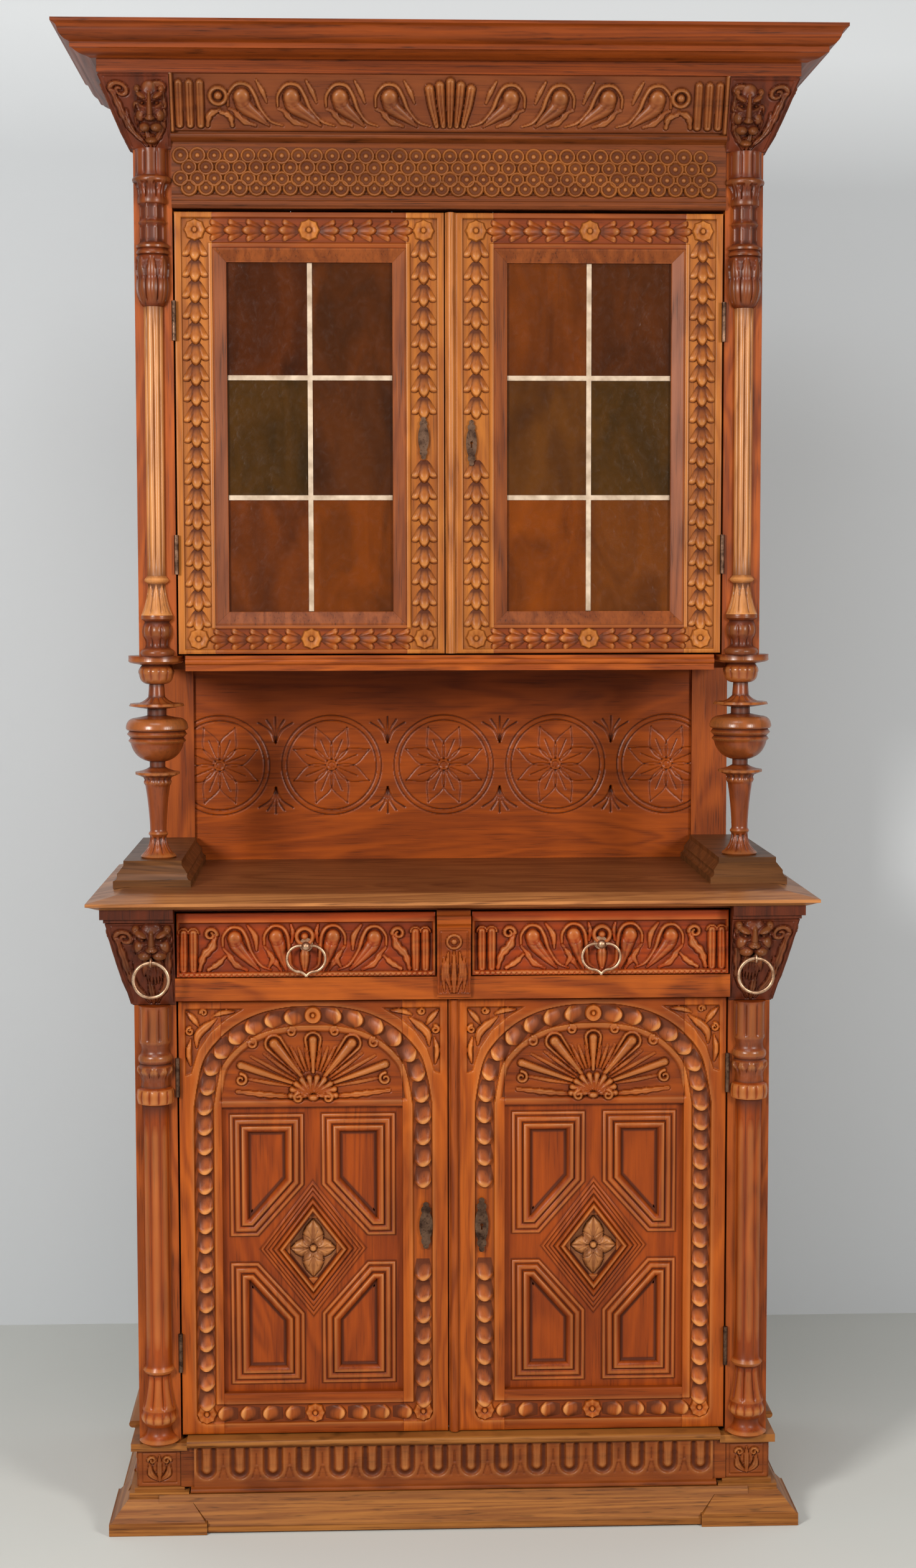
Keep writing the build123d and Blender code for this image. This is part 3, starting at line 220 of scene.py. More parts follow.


# depth and rub set the strength of the painted shade in the cuts and of the painted highlight on the crests
oakSettings = {
    "doorUp": dict(light=(182, 90, 22), dark=(118, 46, 7), depth=0.8, rubAndHighlight=0.35),
    "doorAcross": dict(light=(158, 73, 16), dark=(102, 37, 5), grain="across", depth=0.68, rubAndHighlight=0.34),
    "husk": dict(light=(176, 90, 33), dark=(118, 50, 13), depth=0.78, rubAndHighlight=0.62),
    "upperUp": dict(light=(182, 110, 43), dark=(128, 62, 17), depth=0.7, rubAndHighlight=0.2),
    "upperAcross": dict(light=(143, 66, 19), dark=(98, 36, 8), grain="across", depth=0.6, rubAndHighlight=0.2),
    "upperHusk": dict(light=(167, 95, 34), dark=(115, 54, 15), depth=0.85, rubAndHighlight=0.5),
    # darker than the stile husks: painted shade, such as the frieze casts on the top rail, laid on both rails
    "upperRailHusk": dict(light=(155, 77, 22), dark=(104, 42, 9), grain="across", depth=0.75, rubAndHighlight=0.3),
    "drawer": dict(light=(160, 62, 13), dark=(102, 33, 6), grain="across", depth=0.66, rubAndHighlight=0.3),
    "frieze": dict(light=(128, 66, 29), dark=(87, 38, 15), grain="across", depth=0.5, rubAndHighlight=0.2),
    "scale": dict(light=(136, 76, 28), dark=(94, 44, 14), grain="across", depth=0.68, rubAndHighlight=0.24),
    "niche": dict(light=(173, 81, 23), dark=(115, 47, 9), grain="across", depth=0.95, rubAndHighlight=0.05, rough=0.34),
    "turnedLower": dict(light=(163, 73, 17), dark=(107, 40, 8), depth=0.9, rubAndHighlight=0.5, rough=0.34, shine=0.26),
    "turnedUpper": dict(light=(197, 131, 74), dark=(136, 76, 35), depth=1.0, rubAndHighlight=0.75, rough=0.34, shine=0.34),
    "turnedDark": dict(light=(149, 72, 28), dark=(92, 38, 12), depth=1.0, rubAndHighlight=0.3, rough=0.3, shine=0.42),
    "capital": dict(light=(121, 52, 18), dark=(71, 27, 7), depth=0.95, rubAndHighlight=0.15, rough=0.36, shine=0.3),
    "mask": dict(light=(106, 45, 20), dark=(59, 22, 8), depth=0.75, rubAndHighlight=0.12),
    "plainUp": dict(light=(165, 80, 24), dark=(111, 45, 11)),
    # lighter than the plain posts: a painted highlight along the bead
    "astragal": dict(light=(194, 120, 57), dark=(142, 77, 31), rough=0.36),
    "panel": dict(light=(160, 70, 12), dark=(107, 39, 5), depth=0.85, rubAndHighlight=0.32),
    "sidePanel": dict(light=(160, 78, 24), dark=(108, 45, 11)),
    "flowerPanel": dict(light=(158, 98, 54), dark=(112, 62, 30), depth=0.95, rubAndHighlight=0.45),
    "plainAcross": dict(light=(168, 82, 23), dark=(113, 46, 10), grain="across"),
    "mould": dict(light=(142, 73, 28), dark=(101, 46, 15)),
    "friezePlain": dict(light=(124, 62, 24), dark=(82, 37, 12), grain="round"),
    "cornice": dict(light=(134, 60, 15), dark=(88, 35, 7), grain="round"),
    "counter": dict(light=(184, 122, 70), dark=(130, 76, 42), grain="across", rough=0.34, darkTopAbove=1.0545),
    "sole": dict(light=(112, 69, 34), dark=(70, 41, 18), grain="across", rough=0.38),
    "base": dict(light=(169, 108, 49), dark=(114, 62, 24), grain="round"),
    "baseBoard": dict(light=(145, 73, 26), dark=(95, 41, 13), grain="across"),
    "baseCarved": dict(light=(145, 73, 26), dark=(95, 41, 13), grain="across", depth=0.95, rubAndHighlight=0.32),
    "console": dict(light=(102, 44, 20), dark=(60, 24, 9)),
    "sideDeep": dict(light=(160, 84, 30), dark=(108, 50, 16), grain="deep"),
    "back": dict(light=(112, 70, 40), dark=(72, 42, 24), rough=0.62),
    "inside": dict(light=(164, 108, 62), dark=(116, 70, 36), grain="deep", rough=0.58),
}
oak = {key: makeOak("oak" + key[0].upper() + key[1:], **values) for key, values in oakSettings.items()}


def makeMetal(name, light, dark, rough, speckle):
    material, tree, place = newMaterial(name)
    cloud = noise(tree, place, 60.0, 5.0, 0.6)
    flecks = noise(tree, place, 340.0, 2.0)
    colour = mixColour(tree, remap(tree, cloud, 0.38, 0.64), paint(*light), paint(*dark))
    spotted = mathNode(tree, "MULTIPLY", remap(tree, flecks, 0.58, 0.68), speckle)
    colour = mixColour(tree, spotted, colour, paint(40, 24, 14))
    gloss = remap(tree, cloud, 0.3, 0.7, rough - 0.08, rough + 0.12)
    finishShader(tree, colour, gloss, flecks, 0.15, 0.0003, {"Metallic": 1.0})
    return material


def makeLead(name, light, dark):
    material, tree, place = newMaterial(name)
    cloud = noise(tree, place, 45.0, 4.0)
    colour = mixColour(tree, remap(tree, cloud, 0.35, 0.65), paint(*light), paint(*dark))
    finishShader(tree, colour, remap(tree, cloud, 0.3, 0.7, 0.4, 0.55), cloud, 0.2, 0.0004, {})
    return material


def makeGlass(name, light, dark):
    # rolled cathedral glass: a streaky tint and a rippled face
    material, tree, place = newMaterial(name)
    cloud = noise(tree, stretched(tree, place, (1.0, 1.0, 0.4)), 16.0, 3.0, 0.5, 0.8)
    ripple = noise(tree, place, 90.0, 2.0, 0.5, 0.5)
    colour = mixColour(tree, remap(tree, cloud, 0.34, 0.66), paint(*light), paint(*dark))
    finishShader(tree, colour, remap(tree, ripple, 0.3, 0.7, 0.12, 0.26), ripple, 0.35, 0.002,
                 {"Transmission Weight": 0.45, "Specular IOR Level": 0.3, "IOR": 1.5})
    return material


brass = makeMetal("agedBrass", (224, 188, 156), (154, 114, 86), 0.40, 0.45)
iron = makeMetal("agedIron", (120, 92, 74), (62, 44, 36), 0.48, 0.6)
lead = makeLead("paintedLead", (206, 184, 160), (164, 140, 116))
print("materials made")


# carving tools
# A carved face is a grid of heights in millimetres over the board's own u (across) and v (up).

carving = {"moatSpread": 1.4, "crispCarving": 38, "crispChain": 45, "crispMoulding": 50, "neutral": 0.5}


def smoothStep(x):
    x = np.clip(x, 0, 1)
    return x * x * (3 - 2 * x)


def rounded(share):
    # a round back: 1 on the middle line and 0 at the edge
    return np.clip(1 - share**2, 0, 1)


def gridLine(*runs):
    # each run is (from, to, step); the lines of all runs are joined in order
    lines = [np.linspace(a, b, max(2, round(abs(b - a) / step) + 1)) for a, b, step in runs]
    return np.unique(np.round(np.concatenate(lines), 4))


def curved(points, steps):
    # a smooth run through the points
    p = np.array(points, float)
    p = np.vstack([2 * p[0] - p[1], p, 2 * p[-1] - p[-2]])
    t = np.linspace(0, 1, steps, endpoint=False)[:, None]
    parts = []
    for a, b, c, d in zip(p[:-3], p[1:-2], p[2:-1], p[3:]):
        bend, turn = 2 * a - 5 * b + 4 * c - d, 3 * b - a - 3 * c + d
        parts.append(0.5 * (2 * b + (c - a) * t + bend * t**2 + turn * t**3))
    return np.vstack(parts + [p[-2:-1]])


def mirrored(points, side, middle):
    return [(middle + side * u, v) for u, v in points]


def box(u0, v0, u1, v1):
    return [(u0, v0), (u1, v0), (u1, v1), (u0, v1)]


def toward(degrees, reach=1.0, centre=(0, 0)):
    # the point at this reach and angle from the centre
    angle = math.radians(degrees)
    return centre[0] + reach * math.cos(angle), centre[1] + reach * math.sin(angle)


def spiral(centre, radii, angles, steps=28):
    turn = np.radians(np.linspace(angles[0], angles[1], steps))
    radius = np.linspace(radii[0], radii[1], steps)
    return np.column_stack([centre[0] + radius * np.cos(turn), centre[1] + radius * np.sin(turn)])


class Relief:
    def __init__(self, uLine, vLine):
        self.uLine = np.asarray(uLine, float)
        self.vLine = np.asarray(vLine, float)
        self.u, self.v = np.meshgrid(self.uLine, self.vLine)
        self.h = np.zeros_like(self.u)
        self.span = 3.2  # the height in millimetres that turns a cut from painted shade to painted highlight

    def patch(self, points, reach):
        low, high = points.min(0) - reach, points.max(0) + reach
        cols = np.searchsorted(self.uLine, (low[0], high[0]))
        rows = np.searchsorted(self.vLine, (low[1], high[1]))
        return slice(rows[0], rows[1]), slice(cols[0], cols[1])

    def along(self, path, reach):
        # how far each grid point is from a path, and what share of the path lies before it
        path = np.asarray(path, float)
        area = self.patch(path, reach)
        u, v = self.u[area], self.v[area]
        near = np.full(u.shape, 1e9)
        travel = np.zeros(u.shape)
        lengths = np.hypot(*np.diff(path, axis=0).T)
        before = 0.0
        for (au, av), (bu, bv), length in zip(path[:-1], path[1:], lengths):
            if length < 1e-9:
                continue
            du, dv = bu - au, bv - av
            t = np.clip(((u - au) * du + (v - av) * dv) / length**2, 0, 1)
            far = np.hypot(u - au - t * du, v - av - t * dv)
            closer = far < near
            near[closer] = far[closer]
            travel[closer] = (before + t * length)[closer]
            before += length
        return area, near, travel / max(before, 1e-9)

    def raiseForm(self, area, beyond, rise, base, moat):
        # beyond is the distance outside the form, negative on it; a soft moat is cut all round it
        here = self.h[area]
        top = (here if base is None else base) + rise
        cut = here - moat * np.exp(-((beyond / carving["moatSpread"]) ** 2))
        self.h[area] = np.where(beyond < 0, np.maximum(here, top), cut)

    def stroke(self, path, widths, rise, base, moat, crease=0.0, power=0.5, crimp=0):
        # a raised leaf or stem along a path; widths and rise may change from root to tip
        widths, rise = np.atleast_1d(widths), np.atleast_1d(rise)
        area, near, travel = self.along(path, widths.max() + 4)
        width = np.interp(travel, np.linspace(0, 1, len(widths)), widths)
        wave = 1 + 0.16 * np.cos(travel * crimp * 2 * math.pi) if crimp else 1
        width = np.maximum(width * wave, 0.3)
        tall = np.interp(travel, np.linspace(0, 1, len(rise)), rise)
        tall = tall * rounded(near / width) ** power - crease * np.exp(-((near / (0.14 * width + 0.45)) ** 2))
        self.raiseForm(area, near - width, tall, base, moat)

    def leaves(self, rows, side, middle=0, base=0, steps=8):
        # each row is (points, widths, rise, moat, crease, power, crimp), and the last three may be left out
        for points, widths, rise, *more in rows:
            self.stroke(curved(mirrored(points, side, middle), steps), widths, rise, base, *more)

    def groove(self, path, width, depth):
        area, near, _ = self.along(path, width + 1)
        self.h[area] -= depth * rounded(near / width)

    def around(self, centre, reach):
        centre = np.array([centre], float)
        area = self.patch(centre, reach)
        return area, self.u[area] - centre[0, 0], self.v[area] - centre[0, 1]

    def ring(self, centre, radius, width, rise, base, moat):
        area, u, v = self.around(centre, radius + width + 4)
        near = np.abs(np.hypot(u, v) - radius)
        self.raiseForm(area, near - width, rise * rounded(near / width) ** 0.5, base, moat)

    def dome(self, centre, radii, rise, turn, base, moat, dimple=0.0):
        area, u, v = self.around(centre, max(radii) + 5)
        c, s = math.cos(math.radians(turn)), math.sin(math.radians(turn))
        reach = np.hypot((u * c + v * s) / radii[0], (v * c - u * s) / radii[1])
        tall = rise * rounded(reach) ** 0.5 - dimple * np.exp(-((reach / 0.35) ** 2))
        self.raiseForm(area, (reach - 1) * min(radii), tall, base, moat)

    def inside(self, outline):
        # how deep each point lies inside a closed outline, negative outside
        outline = np.asarray(outline, float)
        closed = np.vstack([outline, outline[:1]])
        far = np.full(self.u.shape, 1e9)
        within = np.zeros(self.u.shape, bool)
        for (au, av), (bu, bv) in zip(closed[:-1], closed[1:]):
            du, dv = bu - au, bv - av
            length = max(du * du + dv * dv, 1e-9)
            t = np.clip(((self.u - au) * du + (self.v - av) * dv) / length, 0, 1)
            far = np.minimum(far, np.hypot(self.u - au - t * du, self.v - av - t * dv))
            if abs(dv) > 1e-9:
                crossing = (self.v >= min(av, bv)) & (self.v < max(av, bv))
                within ^= crossing & (self.u < au + (self.v - av) * du / dv)
        return np.where(within, far, -far)

    def sink(self, depthInside, depth, slope):
        # the ground inside is cut down to one level, with steep walls
        self.h = np.minimum(self.h, np.where(depthInside > 0, -depth * smoothStep(depthInside / slope), 1e9))

    def sinkBand(self, path, half, depth, slope):
        area, near, _ = self.along(path, half + 3)
        depthInside = np.full(self.h.shape, -9.0)
        depthInside[area] = half - near
        self.sink(depthInside, depth, slope)

    def easeEdges(self, width):
        edge = np.minimum.reduce([
            self.u - self.uLine[0], self.uLine[-1] - self.u, self.v - self.vLine[0], self.vLine[-1] - self.v])
        self.h -= 0.8 * (1 - np.clip(edge / width, 0, 1)) ** 2

    def cuts(self, reach=7.0):
        # 0 in the depths and 1 on the crests: each height set against the mean around it; this places painted
        #                                      shade in the depths and painted highlights on the crests
        mean = self.h.copy()
        for axis, line in ((1, self.uLine), (0, self.vLine)):
            for _ in range(2):
                mean = meanAlong(mean, line, axis, reach)
        # painted light from above: slopes facing up are painted lighter, slopes facing down darker
        paintedTopLight = np.clip(-0.14 * np.gradient(self.h, self.vLine, axis=0), -0.1, 0.12)
        return np.clip(0.5 + (self.h - mean) / (2 * self.span) + paintedTopLight, 0, 1)


def meanAlong(values, line, axis, reach):
    # the mean over a window of the line on either side of each point
    values = np.moveaxis(values, axis, -1)
    steps = np.cumsum((values[..., 1:] + values[..., :-1]) / 2 * np.diff(line), -1)
    total = np.concatenate([np.zeros(values.shape[:-1] + (1,)), steps], -1)
    low, high = np.clip(line - reach, line[0], line[-1]), np.clip(line + reach, line[0], line[-1])

    def upTo(where):
        at = np.searchsorted(line, where, "right") - 1
        nextAt = np.minimum(at + 1, len(line) - 1)
        share = np.where(nextAt > at, (where - line[at]) / np.maximum(line[nextAt] - line[at], 1e-9), 0)
        return total[..., at] * (1 - share) + total[..., nextAt] * share

    mean = (upTo(high) - upTo(low)) / np.maximum(high - low, 1e-9)
    return np.moveaxis(mean, -1, axis)


def makeMesh(name, points, faces, carve, flip=False):
    # points are in millimetres; carve is 0 in the cuts, 1 on the crests
    mesh = bpy.data.meshes.new(name)
    turned = [face[::-1] for face in faces] if flip else faces
    mesh.from_pydata((np.asarray(points) / 1000).tolist(), [], turned)
    if carve is not None:
        tones = np.clip(carve, 0, 1).ravel().astype(np.float32)
        mesh.attributes.new("carve", "FLOAT", "POINT").data.foreach_set("value", tones)
    return mesh


def gridShell(rows, cols):
    # the faces of a grid, the ring round its edge, the ring behind that, and the walls between the two
    index = np.arange(rows * cols).reshape(rows, cols)
    ring = np.concatenate([index[0, :-1], index[:-1, -1], index[-1, :0:-1], index[:0:-1, 0]])
    corners = (index[:-1, :-1], index[:-1, 1:], index[1:, 1:], index[1:, :-1])
    quads = np.column_stack([corner.ravel() for corner in corners])
    behind = np.arange(len(ring)) + rows * cols
    walls = np.column_stack([ring, behind, np.roll(behind, -1), np.roll(ring, -1)])
    return ring, behind, np.vstack([quads, walls]).tolist()


def carvedShape(relief, place, back):
    # a closed board: the carved face, four edges and a flat back at height -back
    rows, cols = relief.h.shape
    ring, behind, faces = gridShell(rows, cols)
    face = np.column_stack([a.ravel() for a in place(relief.u, relief.v, relief.h)])
    depth = np.full(len(ring), -float(back))
    rear = np.column_stack(place(relief.u.ravel()[ring], relief.v.ravel()[ring], depth))
    side = rows - 2
    low, right = behind[:cols], behind[cols:cols + side]
    high = behind[cols + side:cols + side + cols][::-1]
    left = behind[len(ring) - side:][::-1] if side > 0 else behind[:0]
    if cols > 3:
        faces += np.column_stack([low[1:-2], high[1:-2], high[2:-1], low[2:-1]]).tolist()
    faces.append([low[0], *left, high[0], high[1], low[1]])
    faces.append([low[-2], high[-2], high[-1], *right[::-1], low[-1]])
    tones = np.concatenate([relief.cuts().ravel(), np.full(len(ring), carving["neutral"])])
    return np.vstack([face, rear]), faces, tones


def mitredRings(name, rings, place, flip, root=4.0):
    # closed runs of moulding, mitred at every corner; each step inwards is (inset, height, carve), where carve
    # paints shade in the grooves and a highlight on the ridges
    points, values, faces = [], [], []
    for corners, steps in rings:
        p = np.array(corners, float)
        nextP = np.roll(p, -1, 0)
        if np.sum(p[:, 0] * nextP[:, 1] - nextP[:, 0] * p[:, 1]) < 0:
            p = p[::-1]
            nextP = np.roll(p, -1, 0)
        ahead = (nextP - p) / np.hypot(*(nextP - p).T)[:, None]
        inward = np.column_stack([-ahead[:, 1], ahead[:, 0]])
        before = np.roll(inward, 1, 0)
        mitre = (inward + before) / (1 + (inward * before).sum(1))[:, None]
        loop = [*steps, (steps[-1][0], -root, 0.1), (steps[0][0], -root, 0.1)]
        start, count = len(values), len(p)
        for inset, height, tone in loop:
            points += [(u, v, height) for u, v in p + mitre * inset]
            values += [tone] * count
        for k in range(len(loop)):
            row, nextRow = start + k * count, start + (k + 1) % len(loop) * count
            for c in range(count):
                nextC = (c + 1) % count
                faces.append([row + c, row + nextC, nextRow + nextC, nextRow + c])
    return makeMesh(name, np.column_stack(place(*np.array(points).T)), faces, values, flip)


def facing(faceY, side=1):
    # a board that faces the front, drawn for the right-hand side and mirrored for the left
    return lambda u, v, h: (side * u, faceY - h, v)


def addPiece(name, mesh, materials, body, crisp=carving["crispCarving"]):
    for one in materials:
        mesh.materials.append(one)
    mesh.shade_smooth()
    mesh.set_sharp_from_angle(angle=math.radians(crisp))
    piece = bpy.data.objects.new(name, mesh)
    scene.collection.objects.link(piece)
    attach(piece, body)
    return piece


def addCarving(name, relief, place, back, wood, body="case", side=1):
    mesh = makeMesh(name, *carvedShape(relief, place, back), side < 0)
    return addPiece(name, mesh, [oak[wood]], body)


# what repeats along a path

def buildChainTree():
    # one motif, set at an even pitch along a path and turned to the face it lies on
    tree, given = newGroup(
        "chainAlongPath", "GeometryNodeTree",
        [("Geometry", "Geometry"), ("Path", "Object"), ("Motif", "Object"), ("Pitch", "Float"),
         ("Facing", "Vector"), ("Unevenness", "Float"), ("Seed", "Int"), ("Material", "Material")],
        [("Geometry", "Geometry")])
    path = addNode(tree, "GeometryNodeObjectInfo", {"Object": given["Path"]}).outputs["Geometry"]
    motif = addNode(tree, "GeometryNodeObjectInfo", {"Object": given["Motif"]}).outputs["Geometry"]
    spaced = addNode(tree, "GeometryNodeResampleCurve", {"Curve": path, "Length": given["Pitch"]}, mode="LENGTH")
    tangent = addNode(tree, "GeometryNodeInputTangent").outputs[0]
    turn = addNode(tree, "FunctionNodeAxesToRotation", {0: given["Facing"], 1: tangent},
                   primary_axis="Z", secondary_axis="Y")
    least = mathNode(tree, "SUBTRACT", 1.0, given["Unevenness"])
    most = mathNode(tree, "ADD", 1.0, given["Unevenness"])
    inputs = {2: least, 3: most, "Seed": given["Seed"]}
    size = addNode(tree, "FunctionNodeRandomValue", inputs, data_type="FLOAT")
    setOut = addNode(tree, "GeometryNodeInstanceOnPoints", {
        "Points": spaced.outputs[0], "Instance": motif, "Rotation": turn.outputs[0], "Scale": size.outputs[1]})
    real = addNode(tree, "GeometryNodeRealizeInstances", {0: setOut.outputs[0]})
    inputs = {"Geometry": real.outputs[0], "Material": given["Material"]}
    painted = addNode(tree, "GeometryNodeSetMaterial", inputs)
    addNode(tree, "NodeGroupOutput", {0: painted.outputs[0]})
    return tree


chainTree = buildChainTree()


def addChain(name, paths, motif, pitch, wood, body, seed, unevenness=0.03, facingWay=front):
    # paths are runs of (x, y, z) in millimetres
    line = bpy.data.curves.new(name + "Path", "CURVE")
    line.dimensions = "3D"
    for path in paths:
        spline = line.splines.new("POLY")
        spline.points.add(len(path) - 1)
        for point, place in zip(spline.points, path):
            point.co = (*[value / 1000 for value in place], 1)
    shapes = {"Path": line, "Motif": motif, "Carrier": bpy.data.meshes.new(name + "Carrier")}
    helpers = {label: bpy.data.objects.new(name + label, data) for label, data in shapes.items()}
    for one in helpers.values():
        scene.collection.objects.link(one)
    carrier = helpers["Carrier"]
    modifier = carrier.modifiers.new("chain", "NODES")
    modifier.node_group = chainTree
    wanted = {"Path": helpers["Path"], "Motif": helpers["Motif"], "Pitch": pitch / 1000, "Facing": facingWay,
              "Unevenness": unevenness, "Seed": seed, "Material": oak[wood]}
    for item in chainTree.interface.items_tree:
        if item.in_out == "INPUT" and item.name in wanted:
            modifier[item.identifier] = wanted[item.name]
    ready = carrier.evaluated_get(bpy.context.evaluated_depsgraph_get())
    mesh = bpy.data.meshes.new_from_object(ready)
    mesh.name = name
    mesh.materials.clear()
    for one in helpers.values():
        bpy.data.objects.remove(one)
    return addPiece(name, mesh, [oak[wood]], body, carving["crispChain"])


def onFace(paths, y, side):
    return [[(side * u, y, v) for u, v in path] for path in paths]


def singles(places):
    # runs shorter than any pitch, so that each carries one motif, at its start
    return [[(u, v), (u, v + 1)] for u, v in places]


def motifMesh(name, across, along, place, carve, skirt=1.2):
    # a closed boss over a small grid: across -1 to 1, along 0 to 1, with its edge let into the ground
    s, t = np.meshgrid(np.linspace(-1, 1, across), np.linspace(0, 1, along))
    face = np.column_stack([a.ravel() for a in place(s, t)])
    ring, behind, faces = gridShell(along, across)
    rear = face[ring] * (0.96, 0.98, 0) + (0, 0, -skirt)
    tones = np.concatenate([carve(s, t).ravel(), np.full(len(ring), 0.12)])
    return makeMesh(name, np.vstack([face, rear]), faces + [behind[::-1].tolist()], tones)


def cupHusk(width=14, length=38, rise=10.5, lean=0.0):
    # a rounded cup with a bright lip, a painted highlight strongest to the side that lean picks, where the light
    # falls; the next one grows out of the painted shade beneath it
    def place(s, t):
        half = width * np.interp(t, (0, 0.2, 0.5, 0.8, 1), (0.76, 0.86, 0.96, 1.0, 0.86))
        swell = np.interp(t, (0, 0.18, 0.4, 0.6, 0.82, 0.92, 1), (0.04, 0.12, 0.34, 0.62, 1.0, 0.90, 0.25))
        return half * s, length * (t * (1 - 0.22 * s**2 * t) - 0.5), rise * swell * (1 - s**2 * 0.96) ** 0.5

    def carve(s, t):
        shares, tones = (0, 0.16, 0.28, 0.5, 0.66, 0.84, 0.93, 1), (0, 0, 0.30, 0.46, 0.58, 1.05, 0.95, 0)
        return np.interp(t, shares, tones) - 0.42 * (s - lean) ** 2

    return motifMesh("cupHusk", 11, 13, place, carve)


def bellHusk(width=21, length=38, rise=7.0):
    # a bellflower of three lobes, the outer two spread and curled
    def place(s, t):
        half = width * np.interp(t, (0, 0.2, 0.5, 0.8, 1), (0.26, 0.52, 0.72, 0.94, 1.0))
        gap = np.exp(-(((np.abs(s) - 0.42) / 0.11) ** 2))
        high = rise * np.interp(t, (0, 0.3, 0.7, 0.88, 1), (0.10, 0.55, 1.0, 0.95, 0.30))
        high = high * (1 - s**2 * 0.9) ** 0.5 - 3.0 * gap * np.interp(t, (0, 0.3, 0.7, 1), (0, 0.3, 1, 1))
        reach = np.where(np.abs(s) < 0.42, 1.0 - 1.2 * s**2, 0.80 - 0.5 * (np.abs(s) - 0.72) ** 2)
        return half * s, length * (t * reach - 0.5), high

    def carve(s, t):
        # painted highlight on the lobe ends, painted shade at the root and in the gaps between the lobes
        tone = np.interp(t, (0, 0.16, 0.34, 0.6, 0.85, 0.93, 1), (0.0, 0.08, 0.42, 0.6, 0.98, 0.9, 0.1))
        gap = np.exp(-(((np.abs(s) - 0.42) / 0.13) ** 2))
        return tone - 0.10 * s**2 - 0.5 * gap * np.interp(t, (0, 0.4, 1), (0, 0.6, 1))

    return motifMesh("bellHusk", 15, 8, place, carve)


def roundMotif(name, radius, high, carve, petals=0, petalCut=0.0, segments=24, skirt=1.0):
    # a boss built on rings; high and carve are (share of radius, value) steps, cut into petals round the rim
    turn = np.linspace(0, 2 * math.pi, segments, endpoint=False)
    lobe = np.abs(np.cos(turn * petals / 2)) ** 0.6 if petals else np.ones_like(turn)
    verts, values, faces = [(0, 0, high[0][1])], [np.interp(0, *zip(*carve))], []
    for share in [step[0] for step in high[1:]]:
        reach = radius * share * (1 - petalCut * (1 - lobe) * share)
        level = np.interp(share, *zip(*high)) - (1 - lobe) * high[0][1] * 0.35 * share
        verts += list(zip(reach * np.cos(turn), reach * np.sin(turn), level))
        # painted shade between the petals
        values += list(np.interp(share, *zip(*carve)) - (1 - lobe) * 0.5)
    last = len(verts) - segments
    verts += [(x, y, -skirt) for x, y, _ in verts[last:]]
    values += [0.1] * segments
    for k in range(segments):
        nextK = (k + 1) % segments
        faces.append([0, 1 + k, 1 + nextK])
        for inner in range(1, last + 1, segments):
            outer = inner + segments
            faces.append([inner + k, outer + k, outer + nextK, inner + nextK])
    faces.append([len(verts) - 1 - k for k in range(segments)])
    return makeMesh(name, verts, faces, values)


def flower(radius, high, petals=8):
    steps = ((0, 1), (0.16, 1), (0.26, 0.45), (0.5, 0.95), (0.85, 0.9), (1, 0.3))
    levels = [(share, high * level) for share, level in steps]
    # painted highlight on the boss and the petals, painted shade in the ring between them
    tones = [(0, 0.9), (0.16, 0.85), (0.26, 0.1), (0.5, 0.75), (0.85, 0.85), (1, 0.3)]
    return roundMotif("flower", radius, levels, tones, petals, 0.28)


print("carving tools ready")


# what both pairs of doors share

def doorBody(stage, word):
    return f"{stage}_{word.lower()}_door"


def addDoorFrame(stage, word, side, d, carve, parts):
    # the woods are one for the rails and one for the stiles
    made, body = [], doorBody(stage, word)
    for part, (uLine, vLine) in parts.items():
        relief = Relief(uLine, vLine)
        carve(relief)
        relief.easeEdges(1.3)
        place, wood = facing(d["faceY"], side), d["woods"]["Stile" in part]
        made.append(addCarving(stage + word + part, relief, place, d["thick"], wood, body, side))
    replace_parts(made[0], body + "_frame")


def addDoorChains(stage, word, side, y, chains):
    for label, paths, motif, pitch, wood, seed in chains:
        addChain(stage + word + label, onFace(paths, y, side), motif, pitch, wood, doorBody(stage, word), seed)


# lower doors

lowerDoor = {
    "faceY": -203, "thick": 27.6, "woods": ("doorAcross", "doorUp"), "outer": 449, "inner": 10,
    "stileOuter": 380.1, "stileInner": 83.9, "gap": 0.2,
    "bottom": 152, "railTop": 220, "boardFoot": 700, "top": 876, "plain": (222, 688), "middle": 230,
    "channelOuter": 409, "channelInner": 51, "channelHalf": 16.5, "channelDepth": 4.2, "railZ": 185,
    "arch": [(0, 851), (40, 849), (82, 840), (117, 823), (145, 799), (164, 772), (173, 737), (179, 700)],
    "archTop": 851, "pitch": 33, "railPitch": 30, "keyhole": (438, 566), "single": 200,
    "ground": 4.2, "fan": (230, 727), "rays": [((124, 44), 6.5), ((69, 84), 8.5), ((0, 90), 7)],
    "fillets": ((10, 112), (29, 116), (37, 100), (63, 80), (71, 74), (80, 70)),
    "scrolls": (((118, 18), 10), ((100, 78), 8), ((36, 97), 7)),
    "ribbon": [([(34, 716), (80, 720), (124, 725)], [3, 5, 3], [3, 4.5, 2], 1.4, 1.2, 0.6, 5)],
    "spandrel": [(209, 864), (110, 864), (140, 846), (166, 824), (186, 794), (198, 756), (209, 752)],
    "spandrelGround": 3.4,
    "spandrelLeaves": [([(190, 800), (186, 822), (158, 846)], 6.5), ([(200, 770), (203, 792), (199, 812)], 4.2),
                       ([(128, 858), (146, 857), (162, 851)], 4.2), ([(205, 858), (194, 846), (186, 834)], 4.5)],
}


def archSide(d, side):
    return curved(mirrored(d["arch"], side, d["middle"]), 8)


